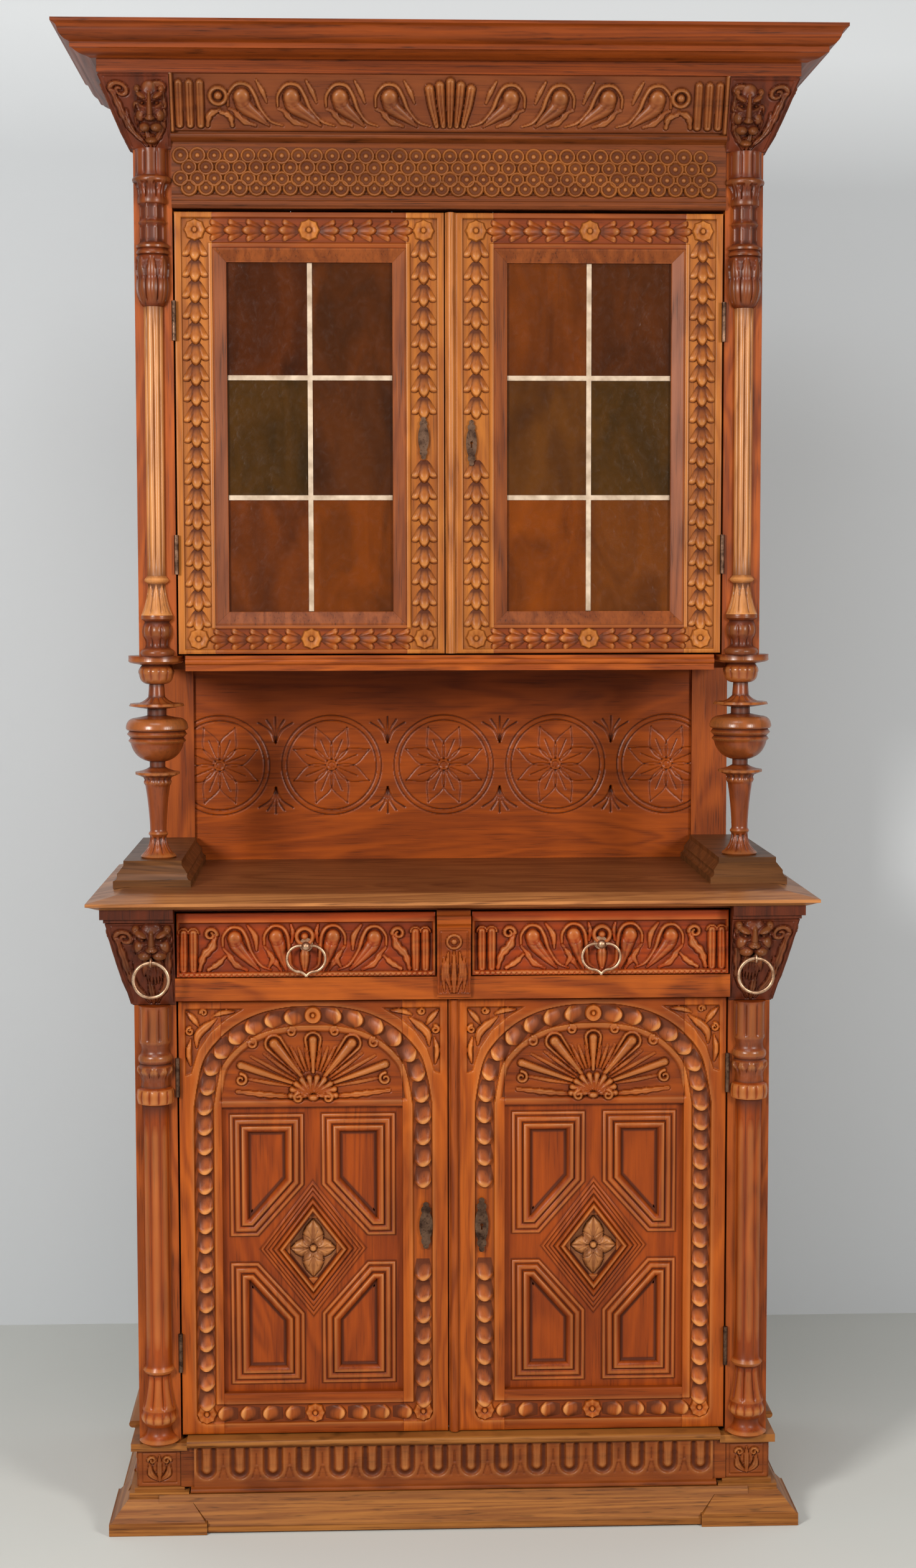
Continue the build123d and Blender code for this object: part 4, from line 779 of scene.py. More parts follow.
def carveLowerDoor(relief):
    d = lowerDoor
    near, far, low, top = d["channelInner"], d["channelOuter"], d["railZ"], d["arch"][-1][1]
    channels = [[(far, low), (far, top)], [(near, low), (near, top)], [(near, low), (far, low)]]
    for path in (*channels, archSide(d, 1), archSide(d, -1)):
        relief.sinkBand(path, d["channelHalf"], d["channelDepth"], 1.4)
    if relief.vLine[-1] > d["boardFoot"]:
        carveTympanum(relief, d)
        carveSpandrels(relief, d)


def inset(path, distance):
    # the path moved sideways, to the right of its run
    path = np.asarray(path, float)
    ahead = np.gradient(path, axis=0)
    ahead /= np.hypot(*ahead.T)[:, None]
    return path + distance * np.column_stack([ahead[:, 1], -ahead[:, 0]])


def carveRay(relief, centre, reach, wide, base):
    # a ray with a round end; the two that stand high have an arch round it
    length = math.hypot(*reach)
    way = np.array(reach) / length
    start, end = way * 30, way * (length - wide)
    path = np.array([start, (start + end) / 2, end]) + centre
    relief.stroke(path, [wide * 0.4, wide * 0.62, wide * 0.86, wide], [4.5, 6, 7, 7], base, 1.6)
    if reach[1] > 60:
        angle = math.degrees(math.atan2(way[1], way[0]))
        foot, across = start * 1.25 + centre, np.array((way[1], -way[0])) * 4.5
        over = spiral(end + centre, (wide + 5.5, wide + 5.5), (angle - 88, angle + 88), 16)
        arch = [foot + across, *over, foot - across]
        relief.stroke(arch, [1.2, 2.4, 2.6, 2.4, 1.2], [1.5, 4, 4.5, 4, 1.5], base, 1.2)
    relief.dome(end + centre, (wide * 0.96, wide * 0.96), 8.0, 0, base, 0.5, 1.6)
    relief.groove(path[:-1], 1.1, 1.0)


def carveTympanum(relief, d):
    inner = inset(archSide(d, 1), 25)
    inner = inner[(inner[:, 1] > 708) & (inner[:, 0] > d["middle"] + 1)]
    depth = relief.inside(np.vstack([inner[::-1], (inner * (-1, 1) + (2 * d["middle"], 0))]))
    base = -d["ground"]
    relief.h += np.where(depth > 0, base * smoothStep(depth / 2.4), 0)
    relief.h -= 1.6 * np.exp(-((depth / 1.3) ** 2))
    fanU, fanV = d["fan"]
    for (u, v), wide in d["rays"]:
        for side in ((1, -1) if u else (1,)):
            carveRay(relief, d["fan"], (side * u, v), wide, base)
    for angle, reach in d["fillets"]:
        for side in (1, -1):
            way = np.array((side, 1)) * toward(angle)
            line = [way * 34 + d["fan"], way * reach + d["fan"]]
            relief.stroke(line, [1.6, 3.4, 2.2], [2, 3.6, 1.5], base, 1.0, 0.6)
    for side in (1, -1):
        for (u, v), reach in d["scrolls"]:
            scroll = spiral((fanU + side * u, fanV + v), (reach, 2.5), (90, 90 + side * 430))
            relief.stroke(scroll, [3, 2.6, 2], 4.5, base, 1.4)
        relief.leaves(d["ribbon"], side, fanU, base)
    for angle in range(0, 181, 20):
        way, foot = np.array(toward(angle)) * (1.1, 0.9), (fanU, fanV - 9)
        relief.stroke([way * 7 + foot, way * 33 + foot], [3, 5.2, 5.2], [7, 8.5, 7], base, 1.6)
    for side in (1, -1):
        curl = spiral((fanU + side * 24, fanV - 12), (8, 2), (90, 90 - side * 420))
        relief.stroke(curl, [3.4, 3, 2.4], 9, base, 1.6)
    relief.dome((fanU, fanV - 12), (9, 6), 9.0, 0, base, 1.4)


def carveSpandrels(relief, d):
    m, base = d["middle"], -d["spandrelGround"]
    for side in (1, -1):
        depth = relief.inside(mirrored(d["spandrel"], side, m))
        relief.h += np.where(depth > 0, base * smoothStep(depth / 2.2), 0)
        for path, wide in d["spandrelLeaves"]:
            relief.leaves([(path, [1.5, wide, wide, 1.5], [2, 5.5, 5.5, 2], 1.4, 1.0)], side, m, base)
        outer = spiral((m + side * 200, 826), (6.5, 2), (90, 90 - side * 400))
        inner = spiral((m + side * 178, 857), (5.5, 2), (0, side * 400))
        relief.stroke(outer, [2.6, 2.2, 1.8], 4.6, base, 1.2)
        relief.stroke(inner, [2.4, 2, 1.8], 4.6, base, 1.2)


def addLowerDoor(side, word):
    d = lowerDoor
    stile = gridLine((d["bottom"], d["plain"][0], 2.2), (*d["plain"], 16), (d["plain"][1], d["top"], 1.45))
    between = (d["stileInner"] + d["gap"], d["stileOuter"] - d["gap"])
    addDoorFrame("lower", word, side, d, carveLowerDoor, {
        "OuterStile": (gridLine((d["stileOuter"], d["outer"], 1.45)), stile),
        "InnerStile": (gridLine((d["inner"], d["stileInner"], 1.45)), stile),
        "TopBoard": (gridLine((*between, 1.3)), gridLine((d["boardFoot"], d["top"], 1.3))),
        "BottomRail": (gridLine((*between, 6)), gridLine((d["bottom"], d["railTop"], 1.4))),
    })
    husks, beads = lowerPaths(d)
    bosses = [(u, d["railZ"]) for u in (d["channelOuter"], d["channelInner"], d["middle"])]
    crown = [(d["middle"], d["archTop"])]
    addDoorChains("lower", word, side, d["faceY"] + d["channelDepth"], [
        # lean turns each cup's painted highlight to one side, the side the light comes from
        ("Husks", husks, cupHusk(lean=0.35 * side), d["pitch"], "husk", 3 if side > 0 else 4),
        ("RailHusks", beads, cupHusk(12.5, 34, 8.5, 0.2), d["railPitch"], "husk", 5),
        ("Flowers", singles(bosses), flower(17, 6.5), d["single"], "doorUp", 6),
        ("TopBead", singles(crown), flower(14, 6.5, 0), d["single"], "doorUp", 7),
    ])


def lowerPaths(d):
    # the runs of cups start beside the crown, and the inner one leaves room for the keyhole
    foot, row = d["railZ"] + 24, d["railZ"]
    low, high = d["keyhole"]
    ends = {1: (d["channelOuter"], foot), -1: (d["channelInner"], high + 14)}
    husks = []
    for way, end in ends.items():
        arch = archSide(d, way)
        arch = arch[np.hypot(arch[:, 0] - d["middle"], arch[:, 1] - d["archTop"]) > 26]
        husks.append([*arch.tolist(), (end[0], 690), end])
    husks.append([(d["channelInner"], low - 14), (d["channelInner"], foot)])
    beads = [[(d["middle"] + 34, row), (d["channelOuter"] - 34, row)],
             [(d["middle"] - 34, row), (d["channelInner"] + 34, row)]]
    return husks, beads


lowerPanel = {
    "centre": (232, 460), "half": (147.9, 239.9), "faceY": -190, "thick": 9.8,
    "lozenge": (88, 115), "well": (39, 51), "wellDepth": 5.2, "sunk": 3.0, "flowerThick": 4.9,
    "frame": [(14.5, 108), (14.5, 227), (136, 227), (136, 22), (90, 22)],
    "frameSteps": [
        (-3.0, 0.15, 0.5), (-1.2, 0.15, 0.25), (0, 0.3, 0.12), (0, 2.6, 0.4), (1.4, 4.4, 0.8), (3.6, 4.8, 0.85),
        (5.6, 4.2, 0.5), (6.4, 2.8, 0.15), (7.6, 2.8, 0.2), (8.4, 5.2, 0.5), (10, 7.0, 0.72), (13, 7.6, 0.8),
        (16, 6.8, 0.55), (17.4, 4.6, 0.1), (18.6, 4.6, 0.12), (19.4, 8.4, 0.55), (21, 10.4, 0.95), (23, 10.8, 0.8),
        (26, 9.8, 0.55), (29.4, 5.6, 0.4), (31, 1.6, 0.1), (32.4, 0.3, 0.0), (34.4, 0.15, 0.1), (37, 0.15, 0.5)],
    "lozengeSteps": [
        (-3, 0.15, 0.5), (0, 0.15, 0.2), (1, 1.8, 0.4), (3.4, 2.8, 0.72), (4.6, 2.4, 0.4), (5.4, 1.2, 0.08),
        (6.4, 2.8, 0.4), (8.6, 4.2, 0.7), (10.2, 3.8, 0.4), (11, 2.4, 0.08), (12, 4.2, 0.4), (14, 5.0, 0.66),
        (15.5, 4.6, 0.45), (16.6, 2.8, 0.1), (17.6, 2.8, 0.15), (18.4, 6.2, 0.5), (20, 8.2, 0.66),
        (22.5, 8.4, 0.56), (24, 6.4, 0.3), (24.8, 5.4, 0.1), (25.8, 8.4, 0.45), (27.6, 10.6, 0.95),
        (30, 10.6, 0.8), (32, 8.0, 0.5), (33, 3, 0.02), (33.6, -2.6, 0.0), (35.4, -2.7, 0.0)],
    "petals": [((0, 2), (0, 48), 17), ((0, -2), (0, -48), 17), ((2, 0), (37, 0), 15), ((-2, 0), (-37, 0), 15)],
}


def carvePetals(relief, d):
    base = -d["sunk"]
    relief.h += base
    for root, tip, wide in d["petals"]:
        widths = [wide * 0.35, wide * 0.9, wide, wide * 0.7, 1]
        relief.stroke([root, tip], widths, [3, 6.6, 7, 5.6, 2.5], base, 1.6, 2.2, 0.6)
        for lean in (-0.3, 0.3):
            leaf = np.array(tip) * 0.9
            relief.groove([leaf * 0.3, leaf * 0.7 + lean * np.array((leaf[1], -leaf[0])) * 0.6], 1.0, 1.0)
    for a, b in ((12, 15), (-12, 15), (12, -15), (-12, -15)):
        relief.stroke([(a * 0.3, b * 0.3), (a * 1.35, b * 1.35)], [2, 6, 5, 1], [3, 5, 4, 2], base, 1.4, 1.2)
    relief.dome((0, 0), (6, 6), 8.4, 0, base, 1.8, 1.8)


def addLowerPanel(side, word):
    d = lowerPanel
    halfU, halfV = d["half"]
    u, v = d["well"]
    body, name = doorBody("lower", word), "lower" + word + "Panel"

    def place(a, b, h):
        return side * (d["centre"][0] + a), d["faceY"] - h, d["centre"][1] + b

    def add(label, relief, thick, wood):
        return addCarving(name + label, relief, place, thick, wood, body, side)

    relief = Relief(gridLine((-halfU, -u - 4, 15), (-u - 4, u + 4, 2), (u + 4, halfU, 15)),
                    gridLine((-halfV, -v - 4, 16), (-v - 4, v + 4, 2), (v + 4, halfV, 16)))
    relief.sink(relief.inside(box(-u, -v, u, v)), d["wellDepth"], 1.0)
    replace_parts(add("", relief, d["thick"], "panel"), body + "_panel")
    relief = Relief(gridLine((-u + 0.5, u - 0.5, 1.2)), gridLine((-v + 0.5, v - 0.5, 1.2)))
    carvePetals(relief, d)
    add("Flower", relief, d["flowerThick"], "flowerPanel")
    frames = [([(a * flipU, b * flipV) for a, b in d["frame"]], d["frameSteps"])
              for flipU in (1, -1) for flipV in (1, -1)]
    u, v = d["lozenge"]
    lozenge = [([(u, 0), (0, v), (-u, 0), (0, -v)], d["lozengeSteps"])]
    for label, rings in (("Mouldings", frames), ("Lozenge", lozenge)):
        mesh = mitredRings(name + label, rings, place, side < 0)
        addPiece(name + label, mesh, [oak["panel"]], body, carving["crispMoulding"])


for side, word in sides:
    addLowerDoor(side, word)
    addLowerPanel(side, word)
print("lower doors carved")


# upper doors

upperDoor = {
    "faceY": -103, "thick": 25.6, "woods": ("upperAcross", "upperUp"), "outer": 449, "inner": 10,
    "stileOuter": 388, "stileInner": 72, "gap": 0.1,
    "bottom": 1439, "railTop": 1486, "railFoot": 2101, "top": 2158, "plain": (1490, 2098), "middle": 230,
    "channelOuter": 416, "channelInner": 43, "channelHalf": 23, "depth": 3.6,
    "topZ": 2129, "bottomZ": 1463, "topHalf": 21, "bottomHalf": 18,
    "pitch": 32.7, "railPitch": 29.5, "keyhole": (1738, 1842), "single": 200,
}


def carveUpperDoor(relief):
    d = upperDoor
    near, far, wide = d["channelInner"], d["channelOuter"], d["channelHalf"]
    low, high, lowHalf, highHalf = d["bottomZ"], d["topZ"], d["bottomHalf"], d["topHalf"]
    for channel in (box(far - wide, low - lowHalf, far + wide, high + highHalf),
                    box(near - wide, low - lowHalf, near + wide, high + highHalf),
                    box(near, high - highHalf, far, high + highHalf),
                    box(near, low - lowHalf, far, low + lowHalf)):
        relief.sink(relief.inside(channel), d["depth"], 1.5)


def addUpperDoor(side, word):
    d = upperDoor
    rows = gridLine((d["bottom"], d["plain"][0], 2.0), (*d["plain"], 20), (d["plain"][1], d["top"], 2.0))
    between = gridLine((d["stileInner"] + d["gap"], d["stileOuter"] - d["gap"], 8))
    addDoorFrame("upper", word, side, d, carveUpperDoor, {
        "OuterStile": (gridLine((d["stileOuter"] + d["gap"], d["outer"], 1.3)), rows),
        "InnerStile": (gridLine((d["inner"], d["stileInner"] - d["gap"], 1.3)), rows),
        "TopRail": (between, gridLine((d["railFoot"], d["top"], 1.3))),
        "BottomRail": (between, gridLine((d["bottom"], d["railTop"], 1.3))),
    })
    near, far, middle = d["channelInner"], d["channelOuter"], d["middle"]
    high, low = d["topZ"] - 32, d["bottomZ"] + 30
    stiles = [[(far, high), (far, low)], [(near, high), (near, d["keyhole"][1])],
              [(near, d["keyhole"][0]), (near, low)]]
    rails = []
    for v in (d["topZ"], d["bottomZ"]):
        rails += [[(middle + 34, v), (far - 34, v)], [(middle - 34, v), (near + 34, v)]]
    bosses = [(u, v) for u in (far, near, middle) for v in (d["topZ"], d["bottomZ"])]
    addDoorChains("upper", word, side, d["faceY"] + d["depth"], [
        ("Husks", stiles, bellHusk(), d["pitch"], "upperHusk", 8),
        ("RailHusks", rails, bellHusk(18, 34, 6.5), d["railPitch"], "upperRailHusk", 9),
        ("Flowers", singles(bosses), flower(18, 6.0), d["single"], "upperUp", 10),
    ])


for side, word in sides:
    addUpperDoor(side, word)
print("upper doors carved")


# leaded panes

paneSettings = {
    "x": ((367, 234), (226, 93)), "z": ((2080, 1896), (1888, 1700), (1692, 1507)), "faceY": -86, "thick": 3,
    "grid": (17, 23), "ripple": 0.25,
    "Left": (((99, 45, 8), (69, 30, 5)), ((104, 50, 11), (76, 37, 8)), ((89, 55, 11), (61, 39, 8)),
             ((100, 50, 14), (71, 35, 10)), ((125, 59, 15), (91, 42, 12)), ((141, 67, 10), (100, 47, 7))),
    "Right": (((104, 50, 10), (74, 35, 7)), ((136, 66, 15), (100, 47, 10)), ((97, 60, 13), (69, 44, 9)),
              ((115, 66, 19), (86, 47, 13)), ((132, 69, 17), (100, 50, 12)), ((156, 76, 13), (117, 55, 9))),
}


def addPanes(side, word):
    # six panes of different tints, a touch of ripple in each face
    d = paneSettings
    points, faces, slots = np.zeros((0, 3)), [], []
    spans = [(x, z) for z in d["z"] for x in d["x"]]
    for number, ((xFar, xNear), (zHigh, zLow)) in enumerate(spans):
        relief = Relief(np.linspace(xNear, xFar, d["grid"][0]), np.linspace(zLow, zHigh, d["grid"][1]))
        wave = d["ripple"] * np.sin(relief.u * 0.07 + number * 2.1) * np.sin(relief.v * 0.045 + number)
        relief.h[1:-1, 1:-1] = wave[1:-1, 1:-1]
        shape, shapeFaces, _ = carvedShape(relief, facing(d["faceY"], side), d["thick"])
        faces += [[len(points) + k for k in face] for face in shapeFaces]
        points = np.vstack([points, shape])
        slots += [number] * len(shapeFaces)
    name = "upper" + word + "Panes"
    mesh = makeMesh(name, points, faces, None, side < 0)
    tints = [makeGlass(f"glass{word}{k + 1}", *pair) for k, pair in enumerate(d[word])]
    piece = addPiece(name, mesh, tints, doorBody("upper", word))
    mesh.polygons.foreach_set("material_index", slots)
    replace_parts(piece, "upper_" + word.lower() + "_panes")


for side, word in sides:
    addPanes(side, word)
print("panes set")


# drawer fronts

drawerFront = {
    "u": (30, 449), "v": (919, 1023), "faceY": -222, "thick": 21.8, "field": (33, 925, 446, 1008),
    "ground": 5.5, "middle": 242, "heads": ((113, 981), (46, 983)), "tails": ((74, 929), (30, 928)),
    "flutes": (196, 180), "beadPitch": 8.6,
    "outerLeaf": [([(170, 930), (164, 952), (150, 968), (146, 984)], [3, 6, 7, 5], [5, 6.5, 7, 6],
                   1.4, 1.4, 0.6, 4)],
    "innerLeaves": [([(156, 930), (140, 940), (128, 952)], [3, 5, 2], [5, 6, 3], 1.2, 1.0, 0.6, 3),
                    ([(92, 1002), (80, 984), (78, 962)], [2, 5, 2], [3, 5.5, 3], 1.2, 1.0),
                    ([(58, 934), (52, 948), (60, 960)], [2, 4.5, 2], [3, 5, 3], 1.2, 1.0),
                    ([(22, 1003), (19, 990), (21, 974)], [2, 4, 2], [3, 5, 3], 1.2, 0.8)],
}


def carveTadpole(relief, head, tail, base, r=13):
    # a bulb with a curling tail under the crest of a wave that sweeps down beside it
    u, v = head
    way = 1 if tail[0] > u else -1
    run, drop = abs(tail[0] - u), v - tail[1]

    crest = [(-1.5 * r, -0.95 * r), (-1.42 * r, 0.3 * r), (-0.5 * r, 1.36 * r), (0.7 * r, 1.25 * r),
             (1.42 * r, 0.15 * r), (1.35 * r + 0.22 * run, -0.42 * drop), (0.9 * r + 0.75 * run, -0.84 * drop),
             (1.5 * r + run, -drop)]
    body = [(0, 0), (0.3 * r, -0.95 * r), (0.52 * run + 2, -0.66 * drop), (run, -drop)]
    leaf = [(-1.45 * r, -1.25 * r), (-0.8 * r, -0.5 * drop), (0.1 * r, -0.82 * drop), (0.5 * run, -drop)]
    for points, *cut in (
            (crest, [2.0, 2.6, 3.0, 3.2, 3.4, 3.2, 2.6, 1.4], [3, 4.5, 5, 5, 4.6, 4.2, 3, 2], base, 1.1),
            (body, [r * 0.92, r * 0.86, r * 0.66, r * 0.42, 1.8], [7, 7, 6, 4.5, 2], base, 1.4, 1.4),
            (leaf, [1.8, 4.6, 5.0, 2], [2, 4.2, 4.2, 2], base, 1.0, 0.8, 0.5, 3)):
        relief.stroke(curved([(u + way * across, v + up) for across, up in points], 8), *cut)
    relief.dome((u, v), (r * 0.9, r * 0.98), 8.4, 0, base, 1.0, 1.2)


def carveDrawer(relief):
    d = drawerFront
    u0, v0, u1, v1 = d["field"]
    relief.sink(relief.inside(box(u0, v0, u1, v1)), d["ground"], 2.2)
    base, m = -d["ground"], d["middle"]
    for side in (1, -1):
        for head, tail in zip(mirrored(d["heads"], side, m), mirrored(d["tails"], side, m)):
            carveTadpole(relief, head, tail, base)
        for u in mirrored([(u, 990) for u in d["flutes"]], side, m):
            relief.stroke([(u[0], 930), u], [6, 7, 7], [6.5, 7, 7], base, 1.6, 2.4)
            relief.stroke(spiral(u, (8.2, 8.2), (0, 180)), 1.6, 6.5, base, 0.6)
        relief.leaves(d["outerLeaf"], side, m, base)
        turn = 180 if side > 0 else 0
        scroll = spiral((m + side * 152, 988), (10, 3), (turn, turn - side * 420))
        relief.stroke(scroll, [3.4, 3, 2.4], 7, base, 1.2)
        relief.leaves(d["innerLeaves"], side, m, base, 6)
    relief.ring((m, 984), 13, 3.6, 7, base, 1.6)
    relief.dome((m, 984), (6, 6), 7, 0, base, 1.2)
    relief.stroke([(m, 930), (m, 966)], [4, 7, 8, 5], [5, 6.5, 7, 5], base, 1.4, 1.8)
    for u in np.arange(u0 + 5, u1, d["beadPitch"]):
        relief.dome((u, v0 - 2.4), (3.6, 2.4), 1.4, 0, None, 0.8)


for side, word in sides:
    relief = Relief(gridLine((*drawerFront["u"], 1.35)), gridLine((*drawerFront["v"], 1.35)))
    carveDrawer(relief)
    relief.easeEdges(1.6)
    drawer, place = word.lower() + "_drawer", facing(drawerFront["faceY"], side)
    name, thick = word.lower() + "DrawerCarving", drawerFront["thick"]
    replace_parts(addCarving(name, relief, place, thick, "drawer", drawer, side), drawer + "_front")
print("drawers carved")


# gadroon frieze

gadroon = {
    "foot": (12, 2283), "head": (50, 2369), "postY": -105, "half": 451.6, "field": 447, "ground": 6.0,
    "thick": 10.5, "sideX": 514, "sideY": (-34.7, 275), "railY": -105.2, "railThick": 22,
    "heads": (336, 256, 178, 98), "tails": (293, 209, 139, 54), "reeds": (437, 420, 403),
    "fan": (-30, -15, 0, 15, 30),
    "buds": [([(392, 9), (388, 26), (372, 34)], [3, 6, 3], [4, 6, 4], 1.4, 1.2, 0.6, 3),
             ([(352, 9), (356, 24), (370, 30)], [3, 5, 3], [4, 6, 4], 1.4, 1.2, 0.6, 3)],
}


def carveGadroons(relief, length):
    d = gadroon
    relief.sink(relief.inside(box(-d["field"], -9, d["field"], length + 9)), d["ground"], 2.2)
    base, headV = -d["ground"], length * 0.58
    for side in (1, -1):
        for head, tail in zip(d["heads"], d["tails"]):
            carveTadpole(relief, (side * head, headV), (side * tail, 9), base, 15)
            sprig = [(head - 24, length - 13), (head - 34, headV + 8), (head - 40, headV - 8)]
            relief.leaves([(sprig, [2, 4.5, 2], [3, 4.5, 2.5], 1.0, 0.8, 0.6)], side, 0, base)
        for u in d["reeds"]:
            relief.stroke([(side * u, 10), (side * u, length - 18)], [6, 6.6, 6.6], 6, base, 1.5, 2.4)
        relief.ring((side * 374, headV + 2), 13, 3.4, 6.5, base, 1.4)
        relief.dome((side * 374, headV + 2), (7, 7), 7, 0, base, 1.2)
        relief.leaves(d["buds"], side, 0, base)
    for u in d["fan"]:
        line = [(u * 0.72, 10), (u, length * 0.5), (u * 1.12, length - 14 - abs(u) * 0.35)]
        relief.stroke(line, [4, 7, 7.5], [5, 6.5, 7], base, 1.6, 2.4)


def addGadroonFrieze():
    # a carved slope in front, plain ones at the sides, and a flat rail behind it
    d = gadroon
    (t0, z0), (t1, z1) = d["foot"], d["head"]
    length = math.hypot(t1 - t0, z1 - z0)
    lean, climb = (t1 - t0) / length, (z1 - z0) / length

    def slope(v, h):
        # h stands out of the slope: down and forward
        return t0 + lean * v + h * climb, z0 + climb * v - h * lean

    def frontSlope(u, v, h):
        reach, z = slope(v, h)
        return u, d["postY"] - reach, z

    relief = Relief(gridLine((-d["half"], d["half"], 1.5)), gridLine((0, length, 1.5)))
    carveGadroons(relief, length)
    relief.easeEdges(1.2)
    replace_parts(addCarving("gadroonCarving", relief, frontSlope, d["thick"], "frieze"), "gadroon_frieze")
    for side, word in sides:
        def sideSlope(u, v, h):
            reach, z = slope(v, h)
            return side * (d["sideX"] + reach), u, z

        relief = Relief(gridLine((*d["sideY"], 30)), gridLine((0, length, 12)))
        addCarving("gadroonSide" + word, relief, sideSlope, d["thick"], "friezePlain", "case", side)
    relief = Relief(gridLine((-d["half"], d["half"], 60)), gridLine((z0, z1, 20)))
    addCarving("gadroonRail", relief, facing(d["railY"]), d["railThick"], "friezePlain")


addGadroonFrieze()
print("gadroon frieze carved")


# scale frieze

scales = {
    "y": -108.4, "lean": 0.7, "rows": ((2247, 0), (2228, 13.5), (2210, 0), (2195, 13.5)),
    "pitch": 27, "half": 437,
    "radius": 14.0, "facing": (0, -1, 0.08), "seed": 21, "unevenness": 0.08,
    "high": [(0, 3.0), (0.2, 2.4), (0.32, 0.2), (0.6, 0.3), (0.74, 2.8), (0.88, 3.0), (1, 0.4)],
    # the tones paint shade in each ring's hollow and a highlight on its rims
    "tones": [(0, 0.95), (0.2, 0.7), (0.32, 0.0), (0.58, 0.05), (0.74, 0.62), (0.9, 0.7), (1, 0.3)],
}
scalePaths = []
for k, (z, shift) in enumerate(scales["rows"]):
    ends = (-scales["half"] + shift, scales["half"] + shift - scales["pitch"])
    scalePaths.append([(x, scales["y"] - k * scales["lean"], z) for x in ends])
scale = roundMotif("scale", scales["radius"], scales["high"], scales["tones"], segments=14)
addChain("scaleRings", scalePaths, scale, scales["pitch"], "scale", "case", scales["seed"], scales["unevenness"],
         scales["facing"])
print("scale frieze laid")


# niche panel

niche = {
    "half": 449.8, "faceY": 255, "z": (1056.2, 1410.8), "fine": (1122, 1332), "thick": 11.8, "span": 1.5,
    "centre": 1227, "circles": (-405, -203, 0, 203, 405), "radii": (90, 81), "petals": 8, "petalReach": 74,
    "sprays": (-304, -101.5, 101.5, 304), "sprayRoots": ((1, 1276), (-1, 1178)),
}


def carveNiche(relief):
    d = niche
    for middle in d["circles"]:
        centre = (middle, d["centre"])
        for radius in d["radii"]:
            relief.groove(spiral(centre, (radius, radius), (0, 360), 73), 1.8, 1.6)
        half = 180 / d["petals"]
        for k in range(d["petals"]):
            turn = 2 * half * k + half
            tip = toward(turn, d["petalReach"], centre)
            for edge in (turn - half, turn + half):
                relief.groove(curved([centre, toward(edge, 40, centre), tip], 8)[2:], 1.5, 1.2)
            relief.groove([toward(turn, 14, centre), toward(turn, 50, centre)], 1.4, 1.4)
        relief.ring(centre, 8, 2, 1.2, 0, 1.0)
    for middle in d["sprays"]:
        for lean in (-34, -17, 0, 17, 34):
            reach = 62 - abs(lean) * 0.5
            for way, root in d["sprayRoots"]:
                bend = (middle + lean * 0.3, root + way * reach * 0.3)
                tip = (middle + lean * 0.9, root + way * reach * 0.62)
                relief.groove(curved([(middle, root - way * 8), bend, tip], 8), 2.2, 1.8)


(foot, head), (low, high) = niche["z"], niche["fine"]
relief = Relief(gridLine((-niche["half"], niche["half"], 1.55)),
                gridLine((foot, low, 12), (low, high, 1.55), (high, head, 12)))
# a small span paints deep shade into the engraved lines
relief.span = niche["span"]
carveNiche(relief)
nichePiece = addCarving("nicheCarving", relief, facing(niche["faceY"]), niche["thick"], "niche")
print("niche panel engraved")


# base flutes

baseFlutes = {
    "half": 430, "z": (66.5, 133.5), "faceY": -212.2, "proud": 4.6, "deepest": 4.4, "thick": 1.0,
    "first": -409.5, "pitch": 54.6, "count": 16, "radius": 11.5, "foot": 96, "head": 129,
}


def carveBase(relief):
    # tongues with round feet in dark grooves, and small leaves between them
    d = baseFlutes
    for k in range(d["count"]):
        u = d["first"] + k * d["pitch"]
        turn = spiral((u, d["foot"]), (d["radius"], d["radius"]), (180, 360), 14)
        relief.groove([(u - d["radius"], d["head"]), *turn, (u + d["radius"], d["head"])], 5.8, 4.6)
        relief.stroke([(u, d["head"] - 1), (u, d["foot"])], [6.4, 6.2, 5.8], [3.2, 4.2, 4.4], -2.8, 0.2, 0.8)
        if k < d["count"] - 1:
            w = u + d["pitch"] / 2
            relief.groove([(w, 122), (w, 104)], 2.0, 1.6)
            for way in (1, -1):
                relief.groove([(w + way * 2, 98), (w + way * 6.5, 82)], 1.9, 1.6)
    relief.h = np.maximum(relief.h, -d["deepest"]) + d["proud"]


relief = Relief(gridLine((-baseFlutes["half"], baseFlutes["half"], 1.5)), gridLine((*baseFlutes["z"], 1.5)))
carveBase(relief)
addCarving("baseFlutes", relief, facing(baseFlutes["faceY"]), baseFlutes["thick"], "baseCarved")
print("base flutes cut")


# carved faces of the corner dies and the divider

smallCarvings = {
    "thick": 2.0, "deepest": 1.8, "proud": 2.0,
    "die": {
        "axis": (487.5, -172.5), "reach": 35.3, "half": 34.4, "z": (68, 129.4), "border": (-28, 73.5, 28, 124),
        "outerLeaf": [([(3, 78), (14, 88), (16, 104)], [2, 5.5, 2], [1.5, 3.2, 1.5], 1.6, 1.2)],
        "innerLeaf": [([(2, 84), (7, 98), (5, 112)], [1.5, 3.4, 1.5], [1, 2.6, 1], 1.2, 0.8)],
    },
    "divider": {
        "half": 26.5, "z": (890, 998), "behind": 0.3,
        "profile": ((884, 228), (912, 229.6), (940, 231), (965, 234), (990, 238), (1000, 238)),
        "leaves": [([(4, 894), (12, 925), (9, 958)], [2, 5.4, 1.5], [2, 3.6, 1.5], 1.8, 1.2, 0.5, 3),
                   ([(15, 894), (18, 920), (16, 950)], [1.5, 3.4, 1.5], [1, 2.6, 1], 1.4, 0.8)],
    },
}


